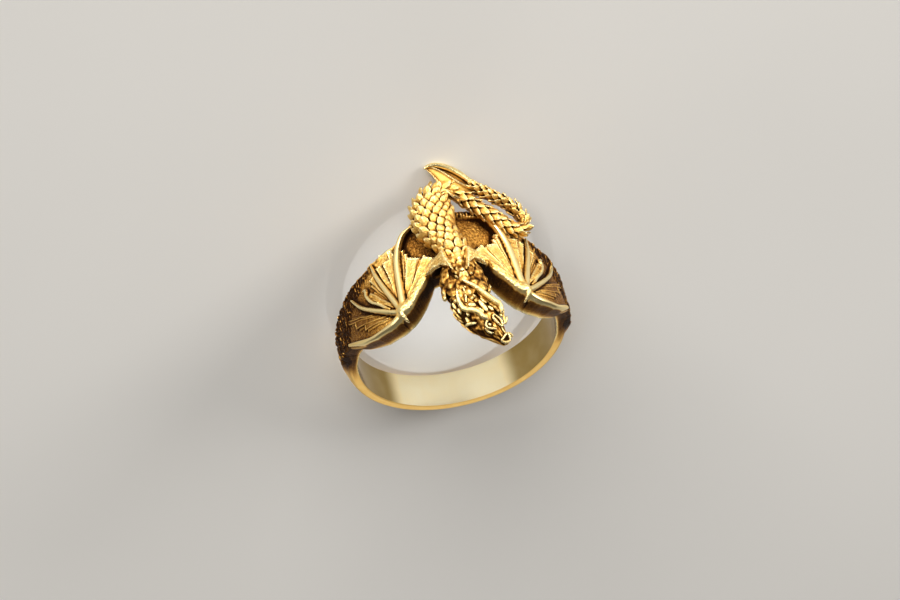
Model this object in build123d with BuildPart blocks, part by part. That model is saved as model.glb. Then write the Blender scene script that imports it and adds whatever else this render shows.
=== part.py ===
from build123d import *
from math import cos, pi, radians, sin
import os

os.makedirs("parts", exist_ok=True)

# A cast finger ring: a winged dragon lies across the top of a plain shank.
# It is modelled standing up, with the finger's axis along Z, the dragon's back towards +Y and
# its head towards +Z, and is laid down on the tail's side at the end.

# Driving dimensions in millimetres
bore_radius = 9.5
plate_wall = 1.6
plate_lift = 0.2
shank_width = 3.55
shank_edge = 0.8
shank_crown = 1.3
front_reach = 4.45
back_reach = 6.0
bone_width = 0.95
bone_rise = 0.3
skin_rise = 0.32
claw_length = 1.0
torso_width = 4.5
torso_depth = 2.9
neck_width = 4.9
neck_depth = 2.7
flap_length = 2.3
flap_wall = 0.5
tail_width = 1.25
leaf_length = 5.1
leaf_width = 3.0
leaf_wall = 0.8
head_length = 5.8
head_width = 3.3
head_depth = 2.5
horn_width = 0.62
scale_relief = 0.07
scale_reach = 0.9

# How the finished ring leans as it lies: its head side is raised by what the tail holds up
rest_tilt = 19.2
rest_roll = 2.5

plate_radius = bore_radius + plate_wall
shank_half = shank_width / 2


def on_ring(angle, axial, height):
    """A point at an angle in degrees from the crest, along the finger, and above the plate."""
    radius = plate_radius + height
    return Vector(radius * sin(radians(angle)), radius * cos(radians(angle)), axial)


def polygon(sides):
    """The corners of a round section, as shares of its half width and half depth."""
    return [(cos(2 * pi * k / sides), sin(2 * pi * k / sides)) for k in range(sides)]


def limb(stations, profile, scales=0.0, outward=None):
    """A limb lofted through stations of (centre, half width, half depth), square to its run.

    With scales, each stretch flares out towards the next one and ends in a ring of points.
    """
    sections = []
    for row, (centre, half_width, half_depth) in enumerate(stations):
        run = stations[min(row + 1, len(stations) - 1)][0] - stations[max(row - 1, 0)][0]
        sections.append((centre, run, half_width, half_depth, 0.0))
    if scales:
        flared = []
        for row, (here, there) in enumerate(zip(sections, sections[1:])):
            centre, run, half_width, half_depth, point = here
            flared.append((centre, run, half_width * (1 - scales), half_depth * (1 - scales), 0.0))
            tip = centre + (there[0] - centre) * scale_reach
            flared.append((tip, there[1], there[2] * (1 + scales), there[3] * (1 + scales),
                           scales * (-1) ** row))
        sections = flared
    with BuildPart() as lofted:
        for centre, run, half_width, half_depth, point in sections:
            out = outward or Vector(centre.X, centre.Y, 0)
            corners = []
            for k, (across, up) in enumerate(profile):
                swell = 1 + point * (-1) ** k
                corners.append((across * half_width * swell, up * half_depth * swell))
            with BuildSketch(Plane(origin=centre, x_dir=out.cross(run), z_dir=run)):
                with BuildLine():
                    Polyline(*corners, close=True)
                make_face()
        loft(ruled=True)
    return lofted.part


def ring_limb(rows, width, depth, profile, scales=0.0, side=1):
    """A limb on the band. Rows: angle, axial, height in mm, width and depth as shares."""
    stations = [(on_ring(side * angle, axial, height), share * width / 2, deep * depth / 2)
                for angle, axial, height, share, deep in rows]
    return limb(stations, profile, scales)


# Band
# The shoulders widen towards the crest. Their edges are straight seen from the side.
# Columns: angle from the crest, front edge and back edge as shares of their reach.
shoulder = [
    (112, 0.04, 0.03),
    (98, 0.24, 0.18),
    (84, 0.36, 0.27),
    (72, 0.46, 0.36),
    (63, 0.70, 0.45),
    (55, 0.86, 0.50),
    (47, 0.98, 0.54),
    (38, 1.00, 0.62),
    (28, 1.00, 0.70),
    (22, 1.00, 0.84),
    (12, 1.00, 0.98),
    (0, 1.00, 1.00),
]
# The notch between the wings. Columns: angle at the plate's middle, share of the front reach.
notch = [(13.5, 0.18), (16.1, 0.38), (20.6, 0.62), (24.8, 0.79), (29.8, 0.90), (32.5, 1.02)]

with BuildPart() as plate:
    with BuildSketch(Plane.XY):
        with Locations((0, plate_lift)):
            Circle(plate_radius - plate_lift)
    extrude(amount=2 * back_reach, both=True)
    with BuildSketch(Plane.YZ):
        with BuildLine():
            heights = [plate_radius * cos(radians(angle)) for angle, front, back in shoulder]
            front_edge = [(y, row[1] * front_reach) for y, row in zip(heights, shoulder)]
            back_edge = [(y, -row[2] * back_reach) for y, row in zip(heights, shoulder)]
            Polyline(*front_edge, *reversed(back_edge), close=True)
        make_face()
    extrude(amount=2 * plate_radius, both=True, mode=Mode.INTERSECT)
    with BuildSketch(Plane.XZ):
        with BuildLine():
            middle = bore_radius + plate_wall / 2
            right = [(middle * sin(radians(angle)), share * front_reach) for angle, share in notch]
            left = [(-x, z) for x, z in reversed(right)]
            Polyline(*right, *left, close=True)
        make_face()
    extrude(amount=-2 * plate_radius, mode=Mode.SUBTRACT)

# The shank is flat towards the finger and crowned outside. The bore goes through both.
with BuildPart() as band:
    with BuildSketch(Plane.XZ):
        with BuildLine():
            edge = bore_radius + shank_edge
            Polyline((edge, -shank_half), (0, -shank_half), (0, shank_half), (edge, shank_half))
            ThreePointArc((edge, shank_half), (bore_radius + shank_crown, 0), (edge, -shank_half))
        make_face()
    revolve(axis=Axis.Z)
    add(plate.part)
    Cylinder(bore_radius, 4 * back_reach, mode=Mode.SUBTRACT)

# Wings
# Each wing has an arm along the front edge, four fingers fanned out from the wrist, raised
# strips of skin between them and a claw over the edge. The two wings mirror each other.
# Columns: angle, share of the front reach along the finger, share of the bone's rise,
# width and depth as shares.
arm = [
    (3.0, -0.22, 2.4, 1.00, 1.2),
    (9.0, -0.06, 2.0, 1.00, 1.1),
    (14.0, 0.10, 1.4, 0.95, 1.0),
    (19.0, 0.31, 1.2, 0.95, 1.0),
    (24.0, 0.57, 1.1, 1.00, 1.0),
    (29.6, 0.76, 1.2, 1.15, 1.2),
    (31.0, 0.82, 0.9, 0.60, 0.8),
]
fingers = [
    [(29.4, 0.74, 1.2, 0.90, 1.1), (28.5, 0.40, 1.1, 0.78, 1.0), (27.5, -0.15, 1.1, 0.72, 1.0),
     (25.0, -0.68, 1.1, 0.66, 1.0), (20.8, -1.02, 1.1, 0.55, 1.0), (16.5, -1.15, 1.1, 0.25, 0.6)],
    [(29.6, 0.74, 1.2, 0.90, 1.1), (32.5, 0.42, 1.0, 0.68, 1.0), (36.4, -0.05, 1.0, 0.62, 1.0),
     (38.8, -0.40, 1.0, 0.52, 0.9), (40.4, -0.72, 0.9, 0.22, 0.6)],
    [(29.6, 0.74, 1.2, 0.90, 1.1), (38.0, 0.53, 1.0, 0.66, 1.0), (46.0, 0.27, 1.0, 0.60, 1.0),
     (53.0, 0.00, 1.0, 0.50, 0.9), (57.5, -0.30, 1.0, 0.22, 0.6)],
    [(29.6, 0.76, 1.2, 0.90, 1.1), (35.5, 0.87, 1.0, 0.72, 1.0), (43.5, 0.94, 0.9, 0.66, 0.9),
     (51.0, 0.90, 0.7, 0.58, 0.9), (60.0, 0.68, 0.4, 0.45, 0.8), (70.0, 0.42, 0.0, 0.30, 0.7)],
]
# Columns: angle and axial share where a strip ends, and its end width as a share of the bone's.
strips = [
    (11.5, -0.30, 1.5),
    (18.6, -0.40, 1.9),
    (23.4, -0.66, 1.0),
    (29.2, -0.72, 1.2),
    (33.8, -0.62, 1.6),
    (37.8, -0.52, 0.7),
    (42.0, -0.33, 1.3),
    (46.8, -0.08, 1.0),
    (52.0, 0.28, 1.3),
    (58.0, 0.26, 1.0),
    (62.0, 0.46, 0.9),
]
wrist_angle, wrist_share = 29.4, 0.72
strip_root = 0.25
strip_stations = (0.16, 0.6, 1.0)
bone_section = polygon(6)
strip_section = [(-1, -1), (1, -1), (0.85, 1), (-0.85, 1)]


def bone(rows, side):
    """One bone of a wing."""
    placed = [(angle, share * front_reach, rise * bone_rise, wide, deep)
              for angle, share, rise, wide, deep in rows]
    return ring_limb(placed, bone_width, bone_width, bone_section, side=side)


def strip(angle, share, wide, side):
    """One flat strip of skin, from close to the wrist out to its end."""
    placed = []
    for t in strip_stations:
        placed.append((wrist_angle + t * (angle - wrist_angle),
                       (wrist_share + t * (share - wrist_share)) * front_reach,
                       0.0, strip_root + t * (wide - strip_root), 1.0))
    return ring_limb(placed, bone_width, 2 * skin_rise, strip_section, side=side)


# The thumb's claw bends over the front edge. Columns: angle, share of the front reach, width.
claw_rows = [(29.6, 0.74, 1.0), (29.0, 0.95, 0.75), (29.0, 1.05, 0.3)]
claw_drop = 0.5
claw_section = polygon(6)


def claw(side):
    """The claw, whose last station drops towards the finger."""
    stations = []
    for (angle, share, wide), drop in zip(claw_rows, (0, 0, claw_drop)):
        centre = on_ring(side * angle, share * front_reach, 0) - Vector(0, drop * claw_length, 0)
        stations.append((centre, wide * bone_width / 2, wide * bone_width / 2))
    return limb(stations, claw_section, outward=Vector(side, 0, 0))


wings = []
for side in (-1, 1):
    with BuildPart() as wing:
        add([bone(arm, side)] + [bone(finger, side) for finger in fingers])
        add([strip(angle, share, wide, side) for angle, share, wide in strips])
        add(claw(side))
    wings.append(wing.part)

# Torso
# The body comes from the shoulders, bulges to the left and curls over into the tail.
# Columns: angle, axial share of the back reach, height, width and depth as shares.
torso_rows = [
    (0.2, 0.10, 0.31, 0.62, 0.84),
    (-0.2, -0.08, 0.36, 0.64, 0.94),
    (-2.0, -0.30, 0.36, 0.76, 1.00),
    (-4.3, -0.50, 0.35, 0.92, 1.02),
    (-5.4, -0.72, 0.33, 1.00, 1.02),
    (-5.5, -0.94, 0.33, 0.90, 0.98),
    (-4.6, -1.12, 0.34, 0.70, 0.86),
    (-2.0, -1.24, 0.33, 0.52, 0.70),
    (1.5, -1.29, 0.31, 0.40, 0.55),
]
with BuildPart() as torso:
    add(ring_limb([(angle, share * back_reach, lift * torso_depth, wide, deep)
                   for angle, share, lift, wide, deep in torso_rows],
                  torso_width, torso_depth, polygon(16), scales=scale_relief))

# Tail
# It runs to the right, loops round and comes back above the plate's edge to the leaf.
# Columns: angle, axial share of the back reach, height as a share of the tail's width,
# width and depth as shares.
tail_rows = [
    (-0.5, -1.27, 0.75, 1.25, 1.20),
    (3.5, -1.30, 0.75, 1.15, 1.10),
    (7.5, -1.22, 0.65, 1.05, 1.05),
    (12.0, -1.08, 0.62, 1.00, 1.00),
    (16.0, -0.95, 0.60, 1.00, 1.00),
    (21.0, -0.82, 0.60, 0.98, 1.00),
    (25.5, -0.71, 0.60, 0.95, 1.00),
    (30.0, -0.61, 0.60, 0.92, 1.00),
    (34.4, -0.59, 0.66, 0.90, 1.00),
    (36.8, -0.66, 0.80, 0.90, 1.00),
    (36.2, -0.78, 0.95, 0.88, 1.00),
    (33.2, -0.90, 1.05, 0.85, 0.95),
    (29.6, -0.98, 1.10, 0.82, 0.95),
    (25.0, -1.05, 1.12, 0.80, 0.90),
    (20.7, -1.13, 1.12, 0.78, 0.90),
    (17.0, -1.20, 1.15, 0.75, 0.90),
    (14.0, -1.29, 1.25, 0.55, 0.70),
]
with BuildPart() as tail:
    add(ring_limb([(angle, share * back_reach, lift * tail_width, wide, deep)
                   for angle, share, lift, wide, deep in tail_rows],
                  tail_width, tail_width, polygon(8), scales=scale_relief))

# Leaf
# The leaf at the tail's end has raised rims and a ridge with a channel at each side.
# Columns: share of the length, share of the width.
leaf_rows = [(0.0, 0.30), (0.12, 0.74), (0.30, 1.0), (0.55, 0.92), (0.78, 0.60), (0.93, 0.28),
             (1.0, 0.06)]
leaf_section = [(-1.0, 0.10), (-0.86, 0.62), (-0.50, 0.00), (-0.10, 0.80), (0.10, 0.80),
                (0.50, 0.00), (0.86, 0.62), (1.0, 0.10), (0.55, -0.70), (-0.55, -0.70)]
leaf_tip_wall = 0.35
leaf_base = on_ring(16.2, -1.23 * back_reach, tail_width)
leaf_run = Vector(-0.838, 0.316, -0.444)
leaf_face = Vector(0.33, 0.94, 0.05)
with BuildPart() as leaf:
    stations = []
    for along, wide in leaf_rows:
        centre = leaf_base + leaf_run * (along * leaf_length)
        thin = leaf_tip_wall + (1 - leaf_tip_wall) * wide
        stations.append((centre, wide * leaf_width / 2, thin * leaf_wall / 2))
    add(limb(stations, leaf_section, outward=leaf_face))

# Neck
# Columns: angle, share of the front reach, height, width and depth as shares.
neck_rows = [
    (-0.8, 1.10, 0.30, 0.58, 0.92),
    (-0.4, 0.94, 0.28, 0.66, 1.00),
    (0.4, 0.72, 0.20, 0.82, 1.00),
    (0.4, 0.50, 0.20, 1.00, 1.00),
    (0.2, 0.22, 0.30, 0.86, 0.95),
    (0.0, -0.14, 0.40, 0.62, 0.90),
]
with BuildPart() as neck:
    add(ring_limb([(angle, share * front_reach, lift * neck_depth, wide, deep)
                   for angle, share, lift, wide, deep in neck_rows],
                  neck_width, neck_depth, polygon(16), scales=scale_relief))

# Shoulder flaps
# A pointed flap of hide lies over the root of each arm, with its point towards the tail.
# Columns: angle, share of the front reach, height, half width and wall, as shares.
flap_rows = [(7.5, 0.10, 0.76, 0.74, 1.0), (5.7, -0.13, 0.90, 0.48, 1.0), (4.6, -0.37, 0.86, 0.09, 0.5)]
flap_section = [(-1, -1), (1, -1), (0, 1)]
flap_lean = 0.35
flaps = []
for side in (-1, 1):
    with BuildPart() as flap:
        add(limb([(on_ring(side * angle, share * front_reach, lift * flap_length),
                   wide * flap_length / 2, thick * flap_wall)
                  for angle, share, lift, wide, thick in flap_rows],
                 flap_section, outward=Vector(side * flap_lean, 1, 0)))
    flaps.append(flap.part)

# Head
# The head hangs over the front edge. Its parts are placed in its own frame: along the snout,
# to the side and up, as shares of its length, half width and depth.
skull = on_ring(-1.0, 0.92 * front_reach, 0.39 * head_depth)
snout_run = Vector(0.525, -0.29, 0.80).normalized()
crown_up = Vector(0.10, 0.95, 0.28)
head_frame = Plane(origin=skull, x_dir=snout_run, z_dir=crown_up - snout_run * crown_up.dot(snout_run))


def in_head(along, aside, up):
    """A point of the head's frame, from shares of its length, half width and depth."""
    return head_frame.from_local_coords(
        Vector(along * head_length, aside * head_width / 2, up * head_depth))


# Columns: share of the length, half width, top and bottom as shares.
head_rows = [
    (-0.05, 0.82, 0.34, -0.56),
    (0.15, 0.92, 0.36, -0.58),
    (0.35, 1.00, 0.38, -0.56),
    (0.55, 0.96, 0.40, -0.52),
    (0.68, 0.72, 0.34, -0.46),
    (0.80, 0.52, 0.20, -0.40),
    (0.92, 0.42, 0.16, -0.34),
    (1.00, 0.26, 0.04, -0.24),
]
head_section = [(1, -0.2), (0.72, 0.55), (0.3, 1), (-0.3, 1),
                (-0.72, 0.55), (-1, -0.2), (-0.6, -1), (0.6, -1)]
# Columns: along, aside, up, width, as shares of the head and of the horn's width.
horn = [(-0.15, 0.42, 0.52, 0.25), (0.00, 0.66, 0.48, 0.75), (0.17, 0.76, 0.44, 0.95),
        (0.34, 0.66, 0.42, 1.05), (0.50, 0.50, 0.40, 1.00), (0.60, 0.40, 0.34, 0.60)]
brow = [(0.48, 0.62, 0.36, 0.8), (0.60, 0.66, 0.34, 0.8), (0.72, 0.46, 0.26, 0.5)]
cheek = [(0.52, 0.80, -0.10, 1.0), (0.40, 1.14, -0.06, 0.6), (0.30, 1.36, 0.00, 0.2)]
fin = [(0.58, 0.78, 0.05, 0.8), (0.52, 1.02, 0.14, 0.5), (0.44, 1.18, 0.20, 0.2)]
jaw = [(0.30, 0.86, -0.50, 0.9), (0.60, 0.66, -0.46, 0.9), (0.82, 0.38, -0.40, 0.7),
       (0.98, 0.10, -0.26, 0.5)]
nostril = [(0.84, 0.22, 0.20, 0.5), (0.93, 0.28, 0.20, 0.7), (0.99, 0.20, 0.10, 0.4)]
detail_section = polygon(6)

with BuildPart() as head:
    add(limb([(in_head(along, 0, (top + bottom) / 2), wide * head_width / 2,
               (top - bottom) * head_depth / 2) for along, wide, top, bottom in head_rows],
             head_section, outward=head_frame.z_dir))
    details = []
    for rows in (horn, brow, cheek, fin, jaw, nostril):
        for side in (-1, 1):
            details.append(limb([(in_head(along, side * aside, up), wide * horn_width / 2,
                                  wide * horn_width / 2) for along, aside, up, wide in rows],
                                detail_section, outward=head_frame.z_dir))
    add(details)

# The casting is one solid. The pieces join it one after another.
with BuildPart() as casting:
    for piece in (band.part, *wings, torso.part, tail.part, leaf.part, neck.part, *flaps, head.part):
        add(piece)

# It lies on the shank's rim and the tail's side, with its head side up and towards -Y.
lying = Location((0, 0, 0), (-rest_tilt, rest_roll, 0)) * Location((0, 0, 0), (0, 0, 180))
with BuildPart() as dragon_ring:
    add(casting.part.moved(lying))

dragon_ring.part.label = "dragon_ring"
export_step(dragon_ring.part, "parts/dragon_ring.step")
print("solids", len(dragon_ring.part.solids()), "volume", round(dragon_ring.part.volume, 2))
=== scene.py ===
# %% [markdown]
# # A dragon ring in cast gold
# The ring is one casting. A dragon lies across the front of a plain shank: its wings spread
# over the shoulders, its neck and head reach over the front edge, and its tail loops back to
# a leaf. The ring lies on its side, so the finger's axis points almost straight up.
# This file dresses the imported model. Each cell makes one thing, and each step has a note
# before it that says why it is made in that way.

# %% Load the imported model
import math

import bmesh
import bpy
import numpy as np
from mathutils import Matrix, Vector
from mathutils.bvhtree import BVHTree


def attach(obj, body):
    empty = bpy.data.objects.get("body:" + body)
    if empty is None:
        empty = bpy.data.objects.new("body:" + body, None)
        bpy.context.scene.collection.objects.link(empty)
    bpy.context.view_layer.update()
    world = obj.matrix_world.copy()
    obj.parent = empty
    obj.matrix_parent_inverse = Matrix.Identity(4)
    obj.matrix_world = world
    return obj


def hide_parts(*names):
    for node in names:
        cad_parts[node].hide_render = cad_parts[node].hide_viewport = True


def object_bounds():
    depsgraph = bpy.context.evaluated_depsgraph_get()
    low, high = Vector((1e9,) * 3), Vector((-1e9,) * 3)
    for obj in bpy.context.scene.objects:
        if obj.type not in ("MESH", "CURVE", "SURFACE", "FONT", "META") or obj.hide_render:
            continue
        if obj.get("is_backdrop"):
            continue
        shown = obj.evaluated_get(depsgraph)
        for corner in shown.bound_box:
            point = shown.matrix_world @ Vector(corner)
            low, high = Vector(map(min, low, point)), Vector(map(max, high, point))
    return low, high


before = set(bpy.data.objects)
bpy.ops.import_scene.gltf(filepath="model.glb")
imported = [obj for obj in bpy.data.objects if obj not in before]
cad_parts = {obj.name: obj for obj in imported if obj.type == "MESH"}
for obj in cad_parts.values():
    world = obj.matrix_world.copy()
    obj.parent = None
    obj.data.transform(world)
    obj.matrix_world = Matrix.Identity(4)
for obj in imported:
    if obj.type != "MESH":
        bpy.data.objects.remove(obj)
cad_low, cad_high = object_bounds()
print("CAD box, mm:", [round(1000 * x, 2) for x in (*cad_low, *cad_high)])


def add_to_scene(name, data):
    """A new object in the scene, at the origin."""
    made = bpy.data.objects.new(name, data)
    bpy.context.scene.collection.objects.link(made)
    return made


# %% [markdown]
# ## Two frames
# A ring is easiest to model standing up: the finger's axis is Z, the crest of the dragon's
# back is on +Y and the head looks towards +Z. Everything is made in that frame, in
# millimetres, and turned once at the end into the way the ring lies, in metres.

# %% Sizes in millimetres
bore_radius = 9.5
plate_wall = 1.6
plate_lift = 0.2
shank_half = 1.775
shank_edge = 0.8
shank_crown = 1.3
front_reach = 4.45
back_reach = 6.0
bone_width = 0.95
bone_rise = 0.3
skin_rise = 0.32
torso_width = 4.5
torso_depth = 2.9
neck_width = 4.9
neck_depth = 2.7
tail_width = 1.25
leaf_length = 5.1
leaf_width = 3.0
leaf_wall = 0.8
head_length = 5.8
head_width = 3.3
head_depth = 2.5
horn_width = 0.62
rest_tilt = 19.2
rest_roll = 2.5
plate_radius = bore_radius + plate_wall
mm_per_degree = plate_radius * math.pi / 180

lean = (Matrix.Rotation(math.radians(-rest_tilt), 4, "X")
        @ Matrix.Rotation(math.radians(rest_roll), 4, "Y")
        @ Matrix.Rotation(math.pi, 4, "Z"))
ring_to_row = Matrix.Scale(0.001, 4) @ lean
axis = lean.to_3x3() @ Vector((0, 0, 1))
print("finger axis:", [round(x, 4) for x in axis])


def on_ring(angle, axial, height):
    """Points at angles from the crest, along the finger and above the plate."""
    turn = np.radians(angle)
    radius = plate_radius + height
    return np.stack(np.broadcast_arrays(radius * np.sin(turn), radius * np.cos(turn), axial), -1)


# %% [markdown]
# ## The camera
# The photograph was taken from some way off with a long lens, over the dragon's back. In the
# way the ring lies that is 53 degrees above the floor, with the camera turned over, so that
# the head points down in the picture. The camera is made first, to frame all that follows.

# %% Camera
camera_away = 400.0
aim_left, aim_up = 0.32, 3.04
focal_length, film_width = 171.2, 36.0
camera_right = Vector((0.9747, 0.0253, 0.2222))
camera_up = Vector((0.1699, 0.5627, -0.809))
camera_back = camera_right.cross(camera_up).normalized()
camera_up = camera_back.cross(camera_right).normalized()
camera_right = camera_up.cross(camera_back)
camera = add_to_scene("camera", bpy.data.cameras.new("camera"))
camera.data.lens, camera.data.sensor_width = focal_length, film_width
stand = camera_back * camera_away - camera_right * aim_left + camera_up * aim_up
turned = lean.to_3x3() @ Matrix((camera_right, camera_up, camera_back)).transposed()
camera.matrix_world = Matrix.Translation(ring_to_row @ stand) @ turned.to_4x4()
bpy.context.scene.camera = camera
print("camera elevation:", round(math.degrees(math.asin((lean.to_3x3() @ camera_back).z)), 1))

# %% [markdown]
# ## Mesh helpers
# Most pieces are rows of points with quads between them: a sheet wrapped round the finger, or
# rings of points along a limb. NumPy makes the points all at once, which stays quick even
# for a hundred thousand of them.

# %% Grids, tubes and smooth lines
def grid_faces(rows, columns):
    """Quads between rows of points, where each row is a closed ring."""
    row = np.arange(rows - 1)[:, None] * columns
    here = np.arange(columns)[None, :]
    there = (here + 1) % columns
    corners = (row + here, row + there, row + columns + there, row + columns + here)
    return np.stack(corners, -1).reshape(-1, 4).tolist()


def closed_rows(points):
    """Points and faces of a shape made of rings of points, with both ends closed."""
    rows, columns = points.shape[:2]
    faces = grid_faces(rows, columns)
    faces.append(list(range(columns))[::-1])
    faces.append(list(range((rows - 1) * columns, rows * columns)))
    return points.reshape(-1, 3), faces


def smooth_rows(rows, steps):
    """Rows of numbers with steps - 1 new rows between neighbours, on a smooth curve."""
    rows = np.array(rows, float)
    ends = np.vstack([2 * rows[0] - rows[1], rows, 2 * rows[-1] - rows[-2]])
    made = []
    for k in range(len(rows) - 1):
        a, b, c, d = ends[k:k + 4]
        for t in np.arange(steps) / steps:
            made.append(b + 0.5 * t * (c - a + t * (2 * a - 5 * b + 4 * c - d
                                                    + t * (3 * b - a - 3 * c + d))))
    made.append(rows[-1])
    return np.array(made)


def unit(vectors):
    """Vectors made one long."""
    return vectors / np.linalg.norm(vectors, axis=-1, keepdims=True)


def limb_frames(centres, outward):
    """The run, the width's and the depth's direction at each centre of a limb."""
    run = unit(np.gradient(centres, axis=0))
    across = unit(np.cross(np.broadcast_to(outward, centres.shape), run))
    return run, across, np.cross(run, across)


def tube(centres, outward, half_width, half_depth, sides=16):
    """A closed round limb through the centres."""
    run, across, up = limb_frames(centres, outward)
    turn = np.arange(sides) * 2 * math.pi / sides
    ring = (across[:, None] * (np.cos(turn)[None, :, None] * half_width[:, None, None])
            + up[:, None] * (np.sin(turn)[None, :, None] * half_depth[:, None, None]))
    return closed_rows(centres[:, None] + ring)


def ribbon(one_edge, other_edge, half_depth, flat=0.6, sides=20):
    """A closed plate between two lines of points, with rounded edges."""
    middle, across = (one_edge + other_edge) / 2, (other_edge - one_edge) / 2
    up = unit(np.cross(unit(np.gradient(middle, axis=0)), across)) * half_depth
    turn = np.arange(sides) * 2 * math.pi / sides
    wide, deep = [np.sign(f(turn)) * np.abs(f(turn)) ** flat for f in (np.cos, np.sin)]
    return closed_rows(middle[:, None] + across[:, None] * wide[None, :, None]
                       + up[:, None] * deep[None, :, None])


def join(parts):
    """Points and faces of several parts as one."""
    points, faces, count = [], [], 0
    for part_points, part_faces in parts:
        points.append(part_points)
        faces += [[i + count for i in face] for face in part_faces]
        count += len(part_points)
    return np.concatenate(points), faces


def make_object(name, points, faces):
    """An object from points in the ring's frame, with its faces turned outwards."""
    mesh = bpy.data.meshes.new(name)
    mesh.from_pydata(points.tolist(), [], faces)
    work = bmesh.new()
    work.from_mesh(mesh)
    bmesh.ops.recalc_face_normals(work, faces=work.faces)
    work.to_mesh(mesh)
    work.free()
    mesh.shade_smooth()
    return add_to_scene(name, mesh)


def read_vectors(mesh, key="co"):
    """The places of a mesh's points, or their normals, one row for each."""
    found = np.zeros(len(mesh.vertices) * 3)
    mesh.vertices.foreach_get(key, found)
    return found.reshape(-1, 3)


def store(mesh, **measures):
    """Keeps one number for each point of a mesh, under each name."""
    for name, values in measures.items():
        layer = mesh.attributes.get(name) or mesh.attributes.new(name, "FLOAT", "POINT")
        layer.data.foreach_set("value", np.asarray(values, np.float32).ravel())


def read_numbers(mesh, name):
    """The numbers kept under a name."""
    found = np.zeros(len(mesh.vertices), np.float32)
    mesh.attributes[name].data.foreach_get("value", found)
    return found


# %% [markdown]
# ## Noise
# Cast metal is never even. Two kinds of noise are enough here: soft value noise for wear and
# wrinkles, and cell noise, which splits a surface into plates, for bark and hide. Both come
# from a fixed seed, so the ring is the same on every run.

# %% Value noise and cell noise
def lattice(seed, shape=(64, 64)):
    """Random numbers from 0 to 1 on a grid, the same for the same seed."""
    return np.random.default_rng(seed).random(shape)


def value_noise(x, y, seed):
    """Soft noise from -1 to 1 with features one unit across."""
    table = lattice(seed)
    column, row = np.floor(x).astype(int), np.floor(y).astype(int)
    u, v = x - column, y - row
    u, v = u * u * (3 - 2 * u), v * v * (3 - 2 * v)
    corner = [[table[(column + i) % 64, (row + j) % 64] for j in (0, 1)] for i in (0, 1)]
    low = corner[0][0] * (1 - u) + corner[1][0] * u
    high = corner[0][1] * (1 - u) + corner[1][1] * u
    return 2 * (low * (1 - v) + high * v) - 1


def cell_noise(x, y, seed):
    """The distances to the nearest and the second nearest cell centre, and the cell's number."""
    across, up = lattice(seed), lattice(seed + 1)
    column, row = np.floor(x).astype(int), np.floor(y).astype(int)
    first, second, number = np.full(x.shape, 9.0), np.full(x.shape, 9.0), np.zeros(x.shape)
    for i in (-1, 0, 1):
        for j in (-1, 0, 1):
            c, r = (column + i) % 64, (row + j) % 64
            gap = np.hypot(column + i + across[c, r] - x, row + j + up[c, r] - y)
            second = np.minimum(second, np.maximum(gap, first))
            number = np.where(gap < first, across[c, r], number)
            first = np.minimum(first, gap)
    return first, second, number


def step(low, high, x):
    """0 below low, 1 above high and smooth between them."""
    t = np.clip((x - low) / (high - low), 0, 1)
    return t * t * (3 - 2 * t)


# %% [markdown]
# ## The band and the wings
# The shank and both wings are one sheet wrapped round the finger. At each angle the ring's
# section is a closed loop: along the outside from the back edge to the front edge, down the
# front wall, back through the bore and up the back wall. So the wings are a relief: a height
# above the plate for each angle and each place along the finger.
# The ring is cut into three closed sectors, one for each wing and one for the plain shank,
# so that no piece grows too heavy. The cuts lie under the dragon's body and low at the sides.

# %% The plate's outline
# Columns: angle from the crest, front edge and back edge as shares of their reach.
shoulder = np.array([
    (0, 1.00, 1.00), (12, 1.00, 0.98), (22, 1.00, 0.84), (28, 1.00, 0.70),
    (38, 1.00, 0.62), (47, 0.98, 0.54), (55, 0.86, 0.50), (63, 0.70, 0.45),
    (72, 0.46, 0.36), (84, 0.36, 0.27), (98, 0.24, 0.18), (112, 0.04, 0.03)])
# The notch between the wings has a sloping wall. Columns: angle, the edge's share of the front
# reach on the outside and at the bore.
notch = np.array([(0, 0.12, 0.20), (13.5, 0.19, 0.22), (16.1, 0.32, 0.40), (20.6, 0.53, 0.64),
                  (24.8, 0.74, 0.81), (27.0, 0.82, 0.87), (29.4, 0.88, 0.93), (31.5, 0.90, 0.95),
                  (33.7, 0.94, 0.98), (36.0, 0.98, 1.00), (40.0, 1.01, 1.02), (180, 1.02, 1.02)])
sector_end = 112.0


def plate_edges(angle):
    """The plate's front edge outside and at the bore, and its back edge, in mm."""
    front = np.interp(angle, shoulder[:, 0], shoulder[:, 1] * front_reach)
    outside, at_bore = [np.minimum(front, np.interp(angle, notch[:, 0], notch[:, k] * front_reach))
                        for k in (1, 2)]
    back = np.interp(angle, shoulder[:, 0], shoulder[:, 2] * back_reach)
    return outside, at_bore, back


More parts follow.
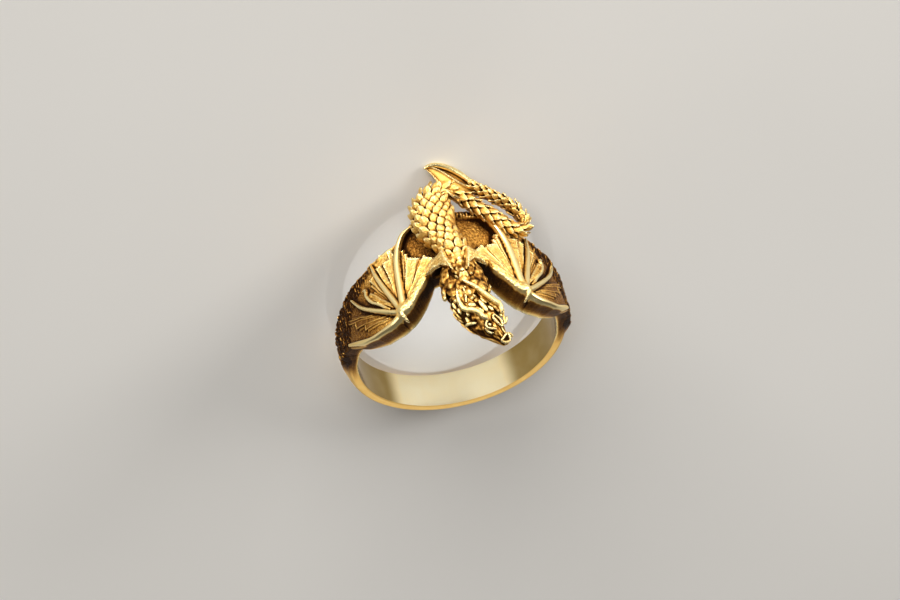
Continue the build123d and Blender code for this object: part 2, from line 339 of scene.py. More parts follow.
# %% The wing's bones and strips
# Columns of a bone: angle, share of the front reach, rise, width and depth as shares.
arm = [(3.0, -0.22, 2.4, 1.00, 1.2), (9.0, -0.06, 2.0, 1.00, 1.1), (14.0, 0.10, 1.4, 0.95, 1.0),
       (19.0, 0.31, 1.2, 0.95, 1.0), (24.0, 0.57, 1.1, 1.00, 1.0), (29.6, 0.76, 1.2, 1.15, 1.2),
       (31.0, 0.82, 0.9, 0.60, 0.8)]
fingers = [
    [(29.4, 0.74, 1.2, 0.84, 1.2), (28.7, 0.50, 1.2, 0.72, 1.3), (28.3, 0.26, 1.2, 0.68, 1.3),
     (27.5, -0.15, 1.2, 0.66, 1.3), (26.4, -0.48, 1.2, 0.62, 1.3), (24.2, -0.78, 1.2, 0.56, 1.2),
     (20.8, -1.02, 1.2, 0.44, 1.2), (16.5, -1.15, 1.1, 0.18, 0.8)],
    [(29.6, 0.74, 1.2, 0.78, 1.2), (32.2, 0.47, 1.2, 0.60, 1.3), (36.2, -0.04, 1.2, 0.50, 1.3),
     (38.8, -0.40, 1.2, 0.38, 1.2), (40.4, -0.72, 1.1, 0.14, 0.8)],
    [(29.6, 0.74, 1.2, 0.78, 1.1), (34.0, 0.66, 1.1, 0.60, 1.2), (39.2, 0.50, 1.1, 0.52, 1.3),
     (46.0, 0.27, 1.1, 0.45, 1.3), (52.0, 0.02, 1.2, 0.34, 1.2), (57.0, -0.30, 1.2, 0.16, 0.8)],
    [(29.6, 0.76, 1.2, 0.80, 1.1), (33.7, 0.855, 1.1, 0.74, 1.1), (38.0, 0.925, 1.1, 0.72, 1.1),
     (44.4, 0.935, 1.0, 0.70, 1.1), (51.0, 0.885, 0.9, 0.64, 1.0), (60.0, 0.68, 0.6, 0.50, 0.9),
     (70.0, 0.42, 0.1, 0.30, 0.8)],
]
curl = [(36.8, 0.49, 0.9, 0.34, 0.5), (40.6, 0.28, 1.0, 0.30, 0.5), (44.9, 0.09, 1.1, 0.30, 0.5),
        (47.0, -0.11, 1.2, 0.30, 0.5), (46.6, -0.25, 1.2, 0.28, 0.5), (48.3, -0.28, 1.0, 0.16, 0.4)]
# Columns: angle and axial share where a strip ends, its end width as a share of the bone's, and
# how far it stands up.
strips = [(11.8, -0.33, 1.20, 1.0), (18.8, -0.42, 1.40, 1.0), (23.6, -0.70, 0.75, 0.85),
          (28.9, -0.80, 0.70, 0.90), (31.6, -0.62, 1.15, 1.0), (36.4, -0.58, 0.75, 0.90),
          (41.2, -0.42, 1.00, 1.0), (46.0, -0.12, 0.80, 0.85), (54.0, 0.46, 0.80, 0.45),
          (59.5, 0.24, 0.95, 0.40), (65.0, 0.02, 0.55, 0.40)]
wrist_angle, wrist_share = 29.4, 0.72
strip_root = 0.25
print("on each wing:", len(fingers), "fingers and", len(strips), "strips of skin")
# Beyond this line the wing ends in bark. Columns: angle, mm along the finger.
bark_line = np.array([(0, -5.6), (16.5, -5.1), (28, -4.4), (40.4, -3.2), (48, -2.1), (57.5, -1.0),
                      (64, 0.3), (70, 2.0), (76, 5.0), (180, 9.0)])


def nearest(line, x, y):
    """The distance from each point to a line, and the place on the line counted in its rows."""
    best, place = np.full(x.shape, 1e9), np.zeros(x.shape)
    for k, (start, end) in enumerate(zip(line, line[1:])):
        run = end - start
        t = np.clip(((x - start[0]) * run[0] + (y - start[1]) * run[1]) / run.dot(run), 0, 1)
        gap = np.hypot(x - start[0] - t * run[0], y - start[1] - t * run[1])
        place = np.where(gap < best, k + t, place)
        best = np.minimum(best, gap)
    return best, place


def soft_max(a, b, width):
    """The larger of two heights, with a fillet where they meet."""
    blend = np.clip(0.5 + 0.5 * (a - b) / width, 0, 1)
    return b + (a - b) * blend + width * blend * (1 - blend)


def raise_bone(height, x, y, rows):
    """The height with a round bone laid over it, and which points are bone."""
    rows = smooth_rows(rows, 6)
    line = np.stack([rows[:, 0] * mm_per_degree, rows[:, 1] * front_reach], -1)
    gap, place = nearest(line, x, y)
    count = np.arange(len(rows))
    half = np.interp(place, count, rows[:, 3]) * bone_width / 2
    deep = np.interp(place, count, rows[:, 4] * rows[:, 3]) * bone_width / 2
    rise = np.interp(place, count, rows[:, 2]) * bone_rise
    on = gap < half
    top = rise + deep * np.sqrt(np.clip(1 - (gap / half) ** 2, 0, 1)) ** 0.8
    return np.where(on, soft_max(top, height, 0.10), height), on & (top > height)


# %% [markdown]
# The skin between the bones is a fan of flat strips that end bluntly, one lower or higher than
# the next, with fine wrinkles across them. Between the strips and the body the plate is sunk
# and pebbled, and past the finger tips the shoulder is rough as bark.

# %% One strip of skin
strip_rim = 0.05
wrinkle_depth = 0.022
crease_depth = 0.018
ragged_end = 0.10
root_drop = 0.10
wrist = np.array([wrist_angle * mm_per_degree, wrist_share * front_reach])


def raise_strip(height, x, y, k, seed):
    """The height with one strip of skin and the web beside it laid over it."""
    end_angle, share, wide, stand = strips[k]
    run = np.array([end_angle * mm_per_degree, share * front_reach]) - wrist
    length = np.hypot(*run)
    run /= length
    along = (x - wrist[0]) * run[0] + (y - wrist[1]) * run[1]
    across = (x - wrist[0]) * run[1] - (y - wrist[1]) * run[0]
    across += 0.05 * value_noise(along * 1.3 + 9 * k, 0 * along, seed + 11)
    half = (strip_root + np.clip(along / length, 0, 1) * (wide - strip_root)) * bone_width / 2
    ragged = ragged_end * value_noise(across * 2.4 + 5 * k, 0 * along, seed + 12)
    inside = np.minimum(half - np.abs(across), length - along + ragged)
    level = stand * skin_rise * (0.90 + 0.25 * lattice(seed + 13)[0, k])
    top = level + strip_rim * step(0.22, 0.06, inside)
    top += wrinkle_depth * value_noise(along * 4.2, across * 0.8 + 7 * k, seed + 14)
    top += crease_depth * value_noise(across * 6.0, along * 0.7 + 3 * k, seed + 15)
    at_root = root_drop * step(0.5, 0.0, along)
    top = top * step(-0.02, 0.09, inside) - at_root
    height = np.where((inside > -0.02) & (along > 0), np.maximum(height, top), height)
    web = np.minimum(1.7 * half - np.abs(across), 0.93 * length - along + ragged)
    under = 0.6 * level * step(-0.04, 0.10, web) - at_root
    return np.where((web > -0.04) & (along > 0), np.maximum(height, under), height)


# %% The wing's relief
pit_depth = 0.34
pebble_depth = 0.017
bark_depth = 0.10
hide_depth = 0.036
wrist_radius = 0.72
wrist_rise = 0.90
wrist_fillet = 0.30
# Where each form or finish fades in, in degrees from the crest.
fades = {"plate": (111.0, 90.0), "whole plate": (64.0, 58.0), "relief": (101.0, 88.0),
         "pit": (31.0, 25.0), "under neck": (16.5, 14.5), "shoulder": (32.0, 56.0),
         "age": (104.0, 84.0), "wall": (108.0, 84.0), "polish": (92.0, 108.0), "carved": (104.0, 90.0)}


def fade(name, angle):
    """0 to 1 between a form's or a finish's two angles."""
    return step(*fades[name], angle)


def wing_relief(angle, axial, seed):
    """The wing's height above the plate, and masks of its smooth bones and its bark."""
    x, y = angle * mm_per_degree, axial
    wobble = value_noise(x * 1.7, y * 1.7, seed)
    past_line = np.interp(angle, bark_line[:, 0], bark_line[:, 1]) - y + 0.35 * wobble
    rough = step(-0.15, 0.25, past_line)
    near_body = fade("pit", angle) * step(1.2, -0.6, y)
    height = -pit_depth * near_body * (1 - rough)
    height += pebble_depth * (value_noise(x * 6.5, y * 6.5, seed + 2)
                              + value_noise(x * 12, y * 12, seed + 3))
    first, second, number = cell_noise(x * 1.5 + 0.4 * wobble, y * 0.75 + 0.2 * wobble, seed + 5)
    plates = step(0.0, 0.30, second - first) * (0.3 + 0.9 * number) - 0.4
    ridges = 1 - np.abs(value_noise(x * 3.4, y * 1.3, seed + 7)) * 2
    flakes = 1 - np.abs(value_noise(x * 5.2, y * 2.8, seed + 8)) * 2
    height += rough * bark_depth * (1.2 * plates + 0.9 * ridges + 0.35 * flakes)
    for k in range(len(strips)):
        height = raise_strip(height, x, y, k, seed)
    smooth = np.zeros(x.shape)
    for rows, sheen in ((curl, 0.8), (arm, 0.25), *((finger, 1.0) for finger in fingers)):
        height, on = raise_bone(height, x, y, rows)
        smooth = np.where(on, sheen, smooth)
        if rows is arm:
            hide = value_noise(x * 7.5, y * 7.5, seed + 17) + value_noise(x * 13, y * 13, seed + 18)
            height = np.where(on, height + hide_depth * hide, height)
    off_wrist = np.hypot(x - wrist[0] - 0.10, (y - wrist[1] - 0.05) * 0.72) / wrist_radius
    knob = wrist_rise * np.clip(1 - off_wrist ** 2.4, 0, 1) ** 0.7
    height = np.where(off_wrist < 1, soft_max(knob, height, wrist_fillet), height)
    smooth = np.where(off_wrist < 1, 1.0, smooth)
    return height, smooth, rough * (1 - smooth)


# %% The ring's sections
wing_rows = 150
wall_rows = 9
bore_rows = 22
edge_round = 0.2
rim_rise = 0.09
narrow_from = 60.0


def wall(edge, foot, top):
    """A wall from the outside down to the bore's rim."""
    drop = np.linspace(0, 1, wall_rows + 1)[None, 1:]
    return edge + (foot - edge) * drop, top[:, None] + (bore_radius + rim_rise - top[:, None]) * drop


def sections(angles, seed):
    """Each section's loop, along and out from the axis, and the relief and masks of its outside."""
    front, at_bore, back = plate_edges(angles)
    past = angles > narrow_from
    high = np.where(past, np.maximum(front, shank_half), front)[:, None]
    rim = np.where(past, np.maximum(at_bore, shank_half), at_bore)[:, None]
    low = -np.maximum(back, shank_half)[:, None]
    axial = low + (high - low) * np.linspace(0, 1, wing_rows)[None, :]
    angle = np.broadcast_to(angles[:, None], axial.shape)
    plate = plate_wall - plate_lift + plate_lift * np.cos(np.radians(angle))
    crown = shank_edge + (shank_crown - shank_edge) * np.clip(1 - (axial / shank_half) ** 2, 0, 1)
    inside = np.minimum(axial + back[:, None], front[:, None] - axial)
    on_plate = np.maximum(step(-0.25, 0.10, inside) * fade("plate", angle), fade("whole plate", angle))
    relief, smooth, rough = wing_relief(angle, axial, seed)
    smooth = np.maximum(smooth, fade("polish", angle))
    radius = bore_radius + crown + (plate - crown) * on_plate
    radius += relief * on_plate * fade("relief", angle)
    to_edge = np.minimum(axial - low, high - axial)
    radius -= edge_round * (1 - np.sqrt(1 - np.clip(1 - to_edge / edge_round, 0, 1) ** 2))
    bore_axial = rim + (low - rim) * np.linspace(0.009, 0.991, bore_rows)[None, :]
    parts = [(axial, radius), wall(high, rim, radius[:, -1]),
             (bore_axial, bore_radius + 0 * bore_axial),
             [part[:, ::-1] for part in wall(low, low, radius[:, 0])]]
    along, out = [np.concatenate([part[k] for part in parts], 1) for k in (0, 1)]
    return along, out, (relief, smooth, rough, high - axial)


# %% The finish of the sections
wall_dark = 0.66
bark_dark = 0.42
pit_dark = 0.30
shoulder_dark = 0.44
neck_shadow = 0.62
# Painted reflection: the bore is pale in the middle of the shank and darker towards the shoulders, fading
# between these angles from the shank's middle.
film_from, film_to = 30.0, 42.0
sharp_from = math.radians(50)
region = np.repeat(np.arange(4), [wing_rows, wall_rows, bore_rows, wall_rows])


def keep_finish(mesh, angles, relief, smooth, rough, to_front):
    """Keeps how smooth, dark and carved a sector is, with its painted shadow under the neck and painted
    reflection on the bore, and marks the bore's faces.
    """
    angle, nothing = angles[:, None], np.zeros((len(angles), len(region)))
    in_pit = step(0.0, -0.12, relief) * fade("pit", angle)
    old = bark_dark * rough + shoulder_dark * fade("shoulder", angle) * (1 - smooth)
    under_neck = fade("under neck", angle) * step(0.6, 0.3, to_front)
    dark, sheen = nothing.copy(), nothing + fade("polish", angle)
    dark[:, :wing_rows] = np.maximum.reduce([old * fade("age", angle), pit_dark * in_pit,
                                             neck_shadow * under_neck])
    dark[:, region % 2 == 1] = wall_dark * fade("wall", angle)
    sheen[:, :wing_rows] = smooth * (1 - under_neck)
    store(mesh, smooth=sheen, dark=dark, carved=nothing + fade("carved", angle),
          film=nothing + step(film_from, film_to, np.abs(180 - angle)))
    in_bore = np.zeros(len(mesh.polygons), np.int32)
    in_bore[:-2] = np.tile(region == 2, len(angles) - 1)
    mesh.polygons.foreach_set("material_index", in_bore)
    mesh.set_sharp_from_angle(angle=sharp_from)


# %% The three sectors
wing_columns = 336
shank_columns = 141
near_end = np.array([0.0, 0.01, 0.1])


def ring_sector(name, angles, side, seed):
    """One closed sector of the ring, with the angles taken to one side of the crest."""
    along, out, outside = sections(angles, seed)
    points = on_ring(side * angles[:, None], along, out - plate_radius)
    made = make_object(name, *closed_rows(points))
    keep_finish(made.data, angles, *outside)
    print(name, "faces:", len(made.data.polygons))
    return made


wing_angles = np.append(np.linspace(0, sector_end, wing_columns)[:-1], sector_end - near_end[::-1])
shank_angles = np.linspace(sector_end, 360 - sector_end, shank_columns)[1:-1]
shank_angles = np.concatenate([sector_end + near_end, shank_angles,
                               360 - sector_end - near_end[::-1]])
sectors = [ring_sector("left_wing", wing_angles, -1, 100),
           ring_sector("right_wing", wing_angles, 1, 300),
           ring_sector("shank", shank_angles, 1, 500)]

# %% [markdown]
# ## Limbs with scales
# The torso, the neck and the tail are tapering limbs covered with overlapping scales. Here a
# rule makes the shape: scales sit in rows round the limb, every second row is shifted by half
# a scale, and each free end points along the limb. Python works out where the seats are, and
# a Geometry Nodes tree puts one small scale on each seat, lifts its free end and varies its
# size a little. Where the torso narrows, its rows have fewer scales of the same size, while on
# the tail and the neck the scales shrink with the limb. Then a voxel remesh melts scales and
# limb into one skin, as in the casting.

# %% Tables of the limbs
# Columns: angle, axial share of the reach, height, width and depth as shares.
torso_rows = [
    (0.4, 0.46, 0.26, 0.40, 0.78), (0.3, 0.28, 0.30, 0.52, 0.84), (0.2, 0.10, 0.32, 0.62, 0.88),
    (-0.2, -0.08, 0.36, 0.66, 0.94), (-2.0, -0.30, 0.36, 0.76, 1.00),
    (-4.3, -0.50, 0.35, 0.92, 1.02), (-5.4, -0.72, 0.33, 1.00, 1.02), (-5.5, -0.94, 0.33, 0.90, 0.98),
    (-4.6, -1.12, 0.34, 0.70, 0.86), (-2.0, -1.24, 0.33, 0.52, 0.70), (1.5, -1.29, 0.31, 0.40, 0.55)]
tail_rows = [
    (-0.5, -1.27, 0.75, 1.25, 1.20), (3.5, -1.30, 0.75, 1.15, 1.10), (7.5, -1.22, 0.65, 1.05, 1.05),
    (12.0, -1.08, 0.62, 1.00, 1.00), (16.0, -0.95, 0.60, 1.00, 1.00), (21.0, -0.82, 0.60, 0.98, 1.00),
    (25.5, -0.71, 0.60, 0.95, 1.00), (30.0, -0.61, 0.60, 0.92, 1.00), (34.4, -0.59, 0.66, 0.90, 1.00),
    (36.8, -0.66, 0.80, 0.90, 1.00), (36.2, -0.78, 0.95, 0.88, 1.00), (33.2, -0.90, 1.05, 0.85, 0.95),
    (29.6, -0.98, 1.10, 0.82, 0.95), (25.0, -1.05, 1.12, 0.80, 0.90), (20.7, -1.13, 1.12, 0.78, 0.90),
    (17.0, -1.20, 1.15, 0.75, 0.90), (14.0, -1.29, 1.25, 0.55, 0.70)]
neck_rows = [
    (-0.8, 1.10, 0.16, 0.46, 0.62), (-0.5, 0.94, 0.18, 0.58, 0.74), (0.4, 0.72, 0.19, 0.78, 0.86),
    (0.4, 0.50, 0.20, 0.98, 0.92), (0.2, 0.22, 0.30, 0.86, 0.95), (0.0, -0.14, 0.40, 0.62, 0.90)]
centre_gap = 0.12


def limb_line(rows, reach, width, depth, slim):
    """Evenly spaced centres of a limb, with its half widths and half depths made slimmer."""
    rows = smooth_rows(rows, 12)
    centres = on_ring(rows[:, 0], rows[:, 1] * reach, rows[:, 2] * depth)
    gone = np.concatenate([[0], np.cumsum(np.linalg.norm(np.diff(centres, axis=0), axis=1))])
    even = np.linspace(0, gone[-1], int(gone[-1] / centre_gap) + 1)
    pick = [np.interp(even, gone, centres[:, k]) for k in range(3)]
    half_width = np.interp(even, gone, rows[:, 3]) * width / 2 - slim
    half_depth = np.interp(even, gone, rows[:, 4]) * depth / 2 - slim
    return np.stack(pick, -1), half_width, half_depth


def radial(centres):
    """The direction out from the finger's axis at each centre."""
    return unit(centres * [1, 1, 0])


# %% One scale
scale_shape = [(0.0, 0.30, 0.00), (0.22, 0.44, 0.09), (0.48, 0.50, 0.17), (0.72, 0.43, 0.20),
               (0.90, 0.25, 0.18), (1.0, 0.08, 0.13)]


def scale_mesh(name, keel):
    """A small plate one long and one wide, with a domed top, a keel and a blunt free end."""
    rings = []
    for along, half, thick in scale_shape:
        ring = [(half * math.cos(turn), along,
                 thick * ((1 - keel) * math.sin(turn) + keel * (1 - abs(math.cos(turn)))))
                for turn in np.linspace(0, math.pi, 7)]
        rings.append(ring + [(-0.6 * half, along, -0.12), (0.6 * half, along, -0.12)])
    made = make_object(name, *closed_rows(np.array(rings)))
    made.hide_render = made.hide_viewport = True
    return made


hide_scale = scale_mesh("scale_pattern", 0.55)
print("a scale has", len(hide_scale.data.polygons), "faces")

# %% Helpers for node trees
def set_inputs(tree, node, inputs):
    """Joins each named or numbered input of a node to a socket, or sets it to a value."""
    for slot, value in dict(inputs).items():
        if isinstance(value, bpy.types.NodeSocket):
            tree.links.new(value, node.inputs[slot])
        else:
            node.inputs[slot].default_value = value


def add_node(tree, kind, inputs=(), **settings):
    """A new node with its settings and inputs."""
    node = tree.nodes.new(kind)
    for key, value in settings.items():
        setattr(node, key, value)
    set_inputs(tree, node, inputs)
    return node


def add_math(tree, operation, *values):
    """A Math node's result, with numbers or sockets as its inputs."""
    return add_node(tree, "ShaderNodeMath", enumerate(values), operation=operation).outputs[0]


def new_tree(name, kind, inputs, outputs):
    """A node tree. Columns of its inputs: name, kind and value. Of its outputs: name and kind."""
    tree = bpy.data.node_groups.new(name, kind)
    for label, socket in outputs:
        tree.interface.new_socket(label, in_out="OUTPUT", socket_type="NodeSocket" + socket)
    for label, socket, value in inputs:
        made = tree.interface.new_socket(label, in_out="INPUT", socket_type="NodeSocket" + socket)
        if value is not None:
            made.default_value = value
    return tree, add_node(tree, "NodeGroupInput").outputs


def use_tree(made, tree, **values):
    """Gives an object a Geometry Nodes modifier and sets its inputs by their identifiers."""
    nodes = made.modifiers.new(tree.name, "NODES")
    nodes.node_group = tree
    for socket in tree.interface.items_tree:
        if socket.in_out == "INPUT" and socket.name in values:
            nodes[socket.identifier] = values[socket.name]


# %% Geometry Nodes: scales on seats
def build_scale_tree():
    """The tree that sets a scale on every seat, and joins them to the limb."""
    tree, given = new_tree(
        "Scales on seats", "GeometryNodeTree",
        [("Seats", "Geometry", None), ("Limb", "Object", None), ("Scale", "Object", None),
         ("Lift", "Float", 0.2), ("Variation", "Float", 0.1), ("Seed", "Int", 1),
         ("Material", "Material", None)], [("Geometry", "Geometry")])

    def kept(name):
        """A vector kept on the seats."""
        return add_node(tree, "GeometryNodeInputNamedAttribute", {"Name": name},
                        data_type="FLOAT_VECTOR").outputs["Attribute"]

    def random(low, high):
        """A random number for each seat."""
        return add_node(tree, "FunctionNodeRandomValue", {2: low, 3: high, "Seed": given["Seed"]},
                        data_type="FLOAT").outputs[1]

    outward = add_node(tree, "FunctionNodeAlignRotationToVector",
                       {"Vector": kept("outward")}, axis="Z")
    along = add_node(tree, "FunctionNodeAlignRotationToVector",
                     {"Rotation": outward.outputs[0], "Vector": kept("along")},
                     axis="Y", pivot_axis="Z")
    lift = add_math(tree, "MULTIPLY", given["Lift"], random(0.6, 1.4))
    tilt = add_node(tree, "ShaderNodeCombineXYZ", {"X": lift})
    tilted = add_node(tree, "FunctionNodeRotateRotation",
                      {"Rotation": along.outputs[0], "Rotate By": tilt.outputs[0]},
                      rotation_space="LOCAL")
    growth = random(add_math(tree, "SUBTRACT", 1.0, given["Variation"]),
                    add_math(tree, "ADD", given["Variation"], 1.0))
    size = add_node(tree, "ShaderNodeVectorMath", {0: kept("size"), "Scale": growth}, operation="SCALE")
    pattern = add_node(tree, "GeometryNodeObjectInfo", {"Object": given["Scale"]})
    limb = add_node(tree, "GeometryNodeObjectInfo", {"Object": given["Limb"]})
    put = add_node(tree, "GeometryNodeInstanceOnPoints",
                   {"Points": given["Seats"], "Instance": pattern.outputs["Geometry"],
                    "Rotation": tilted.outputs[0], "Scale": size.outputs[0]})
    together = add_node(tree, "GeometryNodeJoinGeometry", {0: put.outputs[0]})
    tree.links.new(limb.outputs["Geometry"], together.inputs[0])
    real = add_node(tree, "GeometryNodeRealizeInstances", {0: together.outputs[0]})
    paint = add_node(tree, "GeometryNodeSetMaterial",
                     {"Geometry": real.outputs[0], "Material": given["Material"]})
    add_node(tree, "NodeGroupOutput", {0: paint.outputs[0]})
    return tree


scale_tree = build_scale_tree()
print("scale tree nodes:", len(scale_tree.nodes))


# %% Seats and one skin
def seats_object(name, spots):
    """Points with the outward and along directions and the size of the scale on each."""
    mesh = bpy.data.meshes.new(name)
    mesh.from_pydata([spot[0] for spot in spots], [], [])
    for column, key in ((1, "outward"), (2, "along"), (3, "size")):
        values = np.array([spot[column] for spot in spots], np.float32)
        mesh.attributes.new(key, "FLOAT_VECTOR", "POINT").data.foreach_set("vector", values.ravel())
    return add_to_scene(name, mesh)


def to_plain(made):
    """The object's evaluated mesh, kept in place of its modifiers."""
    graph = bpy.context.evaluated_depsgraph_get()
    mesh = bpy.data.meshes.new_from_object(made.evaluated_get(graph))
    made.modifiers.clear()
    made.data = mesh
    return made


def one_skin(made, voxel, rounds=1):
    """Remeshes an object to a single closed skin and takes off the voxels' steps."""
    remesh = made.modifiers.new("skin", "REMESH")
    remesh.mode, remesh.voxel_size, remesh.use_smooth_shade = "VOXEL", voxel, True
    soften = made.modifiers.new("soften", "SMOOTH")
    soften.factor, soften.iterations = 0.5, rounds
    to_plain(made)
    made.data.shade_smooth()
    return made


def seats_on_limb(centres, half_width, half_depth, outward, around, pitch, shape, cover, steady):
    """Seats in shifted rows over the limb, around of them at the widest place.

    With steady, the scales keep their size where the limb narrows, and there are fewer.
    """
    run, across, up = limb_frames(centres, outward)
    gap = np.linalg.norm(centres[1] - centres[0])
    widest = math.pi * np.max(half_width + half_depth)
    spots, place, row = [], 0.0, 0
    while place < len(centres) - 1:
        k = int(place)
        girth = math.pi * (half_width[k] + half_depth[k])
        count = max(5, round(around * girth / widest)) if steady else around
        one = girth / count
        for n in range(count):
            turn = math.pi / 2 + (n + 0.5 * (row % 2)) * 2 * math.pi / count
            from_top = abs((math.degrees(turn) - 90 + 180) % 360 - 180)
            if from_top > cover:
                continue
            aside, above = across[k] * math.cos(turn), up[k] * math.sin(turn)
            spots.append((centres[k] + (aside * half_width[k] + above * half_depth[k]),
                          unit(aside / half_width[k] + above / half_depth[k]), run[k],
                          [share * one for share in shape]))
        place += pitch * one / gap
        row += 1
    return spots


def scaled_limb(name, rows, reach, width, depth, slim, around, pitch, lift, voxel, seed,
                cover=180, wide=1.25, long=1.35, thick=1.0, flip=False, variation=0.08, steady=False):
    """A limb with scales as one skin. With flip, the free ends point back along its rows."""
    centres, half_width, half_depth = limb_line(rows, reach, width, depth, slim)
    if flip:
        centres, half_width, half_depth = centres[::-1], half_width[::-1], half_depth[::-1]
    outward = radial(centres)
    core = make_object(name + "_core", *tube(centres, outward, half_width, half_depth, 28))
    spots = seats_on_limb(centres, half_width, half_depth, outward, around, pitch,
                          (wide, long, thick), cover, steady)
    limb = seats_object(name, spots)
    use_tree(limb, scale_tree, Limb=core, Scale=hide_scale, Lift=lift, Variation=variation, Seed=seed)
    one_skin(limb, voxel)
    bpy.data.objects.remove(core)
    print(name, "scales:", len(spots), "faces:", len(limb.data.polygons))
    return limb


# %% [markdown]
# ## The torso and the tail
# The torso bulges to the left and curls over into the tail. The tail runs to the right, loops
# and comes back above itself, with narrower scales that look plaited.

# %% Torso and tail
torso = scaled_limb("torso", torso_rows, back_reach, torso_width, torso_depth, slim=0.40,
                    around=12, pitch=0.86, lift=0.25, voxel=0.056, seed=4, cover=125, thick=1.15,
                    wide=1.15, steady=True)
tail = scaled_limb("tail", tail_rows, back_reach, tail_width, tail_width, slim=0.16,
                   around=5, pitch=1.0, lift=0.28, voxel=0.050, seed=9, long=1.9, thick=1.1)

# %% [markdown]
# ## The neck and the shoulder flaps
# The neck's scales are fewer, larger and rougher. They point back to the shoulders, where two
# pointed flaps of hide lie over the roots of the wings' arms.

# %% Neck
neck = scaled_limb("neck", neck_rows, front_reach, neck_width, neck_depth, slim=0.40,
                   around=8, pitch=0.60, lift=0.15, voxel=0.058, seed=21, cover=140, flip=True,
                   thick=1.3, wide=1.05, long=1.5, variation=0.35)
folds = 0.075
neck_painted_shade = 0.24


def prick_surface(made, amount, grain, seed):
    """Roughens a piece with noise, grain features per mm, and returns its points from before."""
    mesh = made.data
    place, normal = read_vectors(mesh), read_vectors(mesh, "normal")
    x = np.degrees(np.arctan2(place[:, 0], place[:, 1])) * mm_per_degree
    prick = (value_noise(x * grain, place[:, 2] * grain, seed)
             + value_noise(x * grain * 1.7, place[:, 2] * grain * 1.7, seed + 1))
    mesh.vertices.foreach_set("co", (place + normal * (amount * prick)[:, None]).ravel())
    mesh.update()
    return place


place = prick_surface(neck, folds, 1.5, 41)
# Painted shade: the neck's colour is darker towards the head.
store(neck.data, dark=neck_painted_shade * step(0.6, 1.6, place[:, 2]))

# %% The hide over the shoulders
# Each flap's two edges, from its base over the notch to its tip at the crest. Columns: angle,
# mm along the finger and mm above the plate, for one edge and then for the other.
flap_half_wall = 0.26
stipple = 0.015
flap_edges = {
    "left": [(-15.6, 0.98, 0.62, -3.3, 2.19, 2.35), (-12.2, 0.22, 0.90, -4.0, 1.38, 2.40),
             (-8.5, -0.22, 1.50, -4.7, 0.47, 2.30), (-5.6, -0.55, 2.00, -5.1, -0.56, 2.05)],
    "right": [(13.0, 0.98, 0.70, 2.1, 2.13, 2.35), (10.4, 0.40, 1.10, 2.5, 1.38, 2.40),
              (7.4, 0.05, 1.65, 3.1, 0.53, 2.30), (4.4, -0.42, 2.00, 4.0, -0.42, 2.05)]}
flap_bow = 0.95
flap_ragged = 0.07


def flap(rows):
    """A curved plate between two edges, bowed in at its base, with a base made of quads."""
    rows = smooth_rows(rows, 8)
    one_edge, other_edge = on_ring(*rows[:, :3].T), on_ring(*rows[:, 3:].T)
    points, faces = ribbon(one_edge, other_edge, flap_half_wall)
    points = points.reshape(len(rows), -1, 3)
    across = (other_edge - one_edge)[:, None]
    share = ((points - one_edge[:, None]) * across).sum(-1) / (across ** 2).sum(-1)
    share = np.clip(share, 0, 1)
    bow = flap_bow * 4 * share * (1 - share) + flap_ragged * np.sin(share * 23)
    bow = bow * (1 - np.linspace(0, 1, len(rows))[:, None]) ** 2
    inward = unit((one_edge[-1] + other_edge[-1]) - (one_edge[0] + other_edge[0]))
    sides = points.shape[1]
    cap = [[k, k + 1, sides - k - 1, sides - k] for k in range(1, sides // 2 - 1)]
    cap += [[0, 1, sides - 1], [sides // 2 - 1, sides // 2, sides // 2 + 1]]
    return (points + bow[..., None] * inward).reshape(-1, 3), faces[:-2] + cap + faces[-1:]


shoulder_hide = make_object("shoulder_hide", *join([flap(rows) for rows in flap_edges.values()]))
one_skin(shoulder_hide, 0.045, 3)
prick_surface(shoulder_hide, stipple, 7.5, 31)
print("shoulder hide faces:", len(shoulder_hide.data.polygons))

# %% [markdown]
# ## The leaf
# The leaf at the tail's end is a pointed blade with thick raised rims and a ridge down its
# middle, with a channel at each side. It is lofted from one section that grows and shrinks.

# %% Leaf
# Columns: share of the length, upper and lower edge as shares of half the width.
leaf_edges = [(0.00, -0.34, 0.60), (0.15, -0.47, 1.02), (0.34, -0.64, 1.15), (0.53, -0.70, 0.95),
              (0.70, -0.65, 0.62), (0.86, -0.46, 0.30), (0.95, -0.22, 0.17), (1.00, 0.02, 0.10)]
# Columns: place between the edges, height as a share of half the wall.
leaf_section = [(-1.00, 0.0), (-0.80, 0.05), (-0.52, -0.08), (-0.34, 0.18), (-0.22, 0.74),
                (-0.14, 0.80), (-0.05, 0.36), (0.25, 0.0), (0.62, -0.15), (0.84, 0.18),
                (0.93, 0.40), (1.00, 0.10), (0.86, -0.50), (0.0, -0.80), (-0.86, -0.50)]
# Columns: share of the length, place as a share of half the width, half width in mm.
leaf_rim = [(-0.05, -0.20, 0.20), (0.15, -0.36, 0.25), (0.34, -0.52, 0.28), (0.53, -0.59, 0.28),
            (0.70, -0.55, 0.27), (0.86, -0.38, 0.23), (0.95, -0.16, 0.18), (1.00, 0.06, 0.14),
            (1.01, 0.18, 0.08)]
leaf_base = on_ring(16.2, -1.23 * back_reach, tail_width)
leaf_run = unit(np.array([-0.838, 0.316, -0.444]))
leaf_face = np.array([0.32, 0.92, 0.22])
leaf_face = unit(leaf_face - leaf_run * leaf_face.dot(leaf_run))
leaf_across = np.cross(leaf_face, leaf_run) * leaf_width / 2
edges = smooth_rows(leaf_edges, 14)
section = smooth_rows(leaf_section + leaf_section[:1], 4)[:-1]
across = (edges[:, 1:2] + edges[:, 2:3] + (edges[:, 2:3] - edges[:, 1:2]) * section[:, 0]) / 2
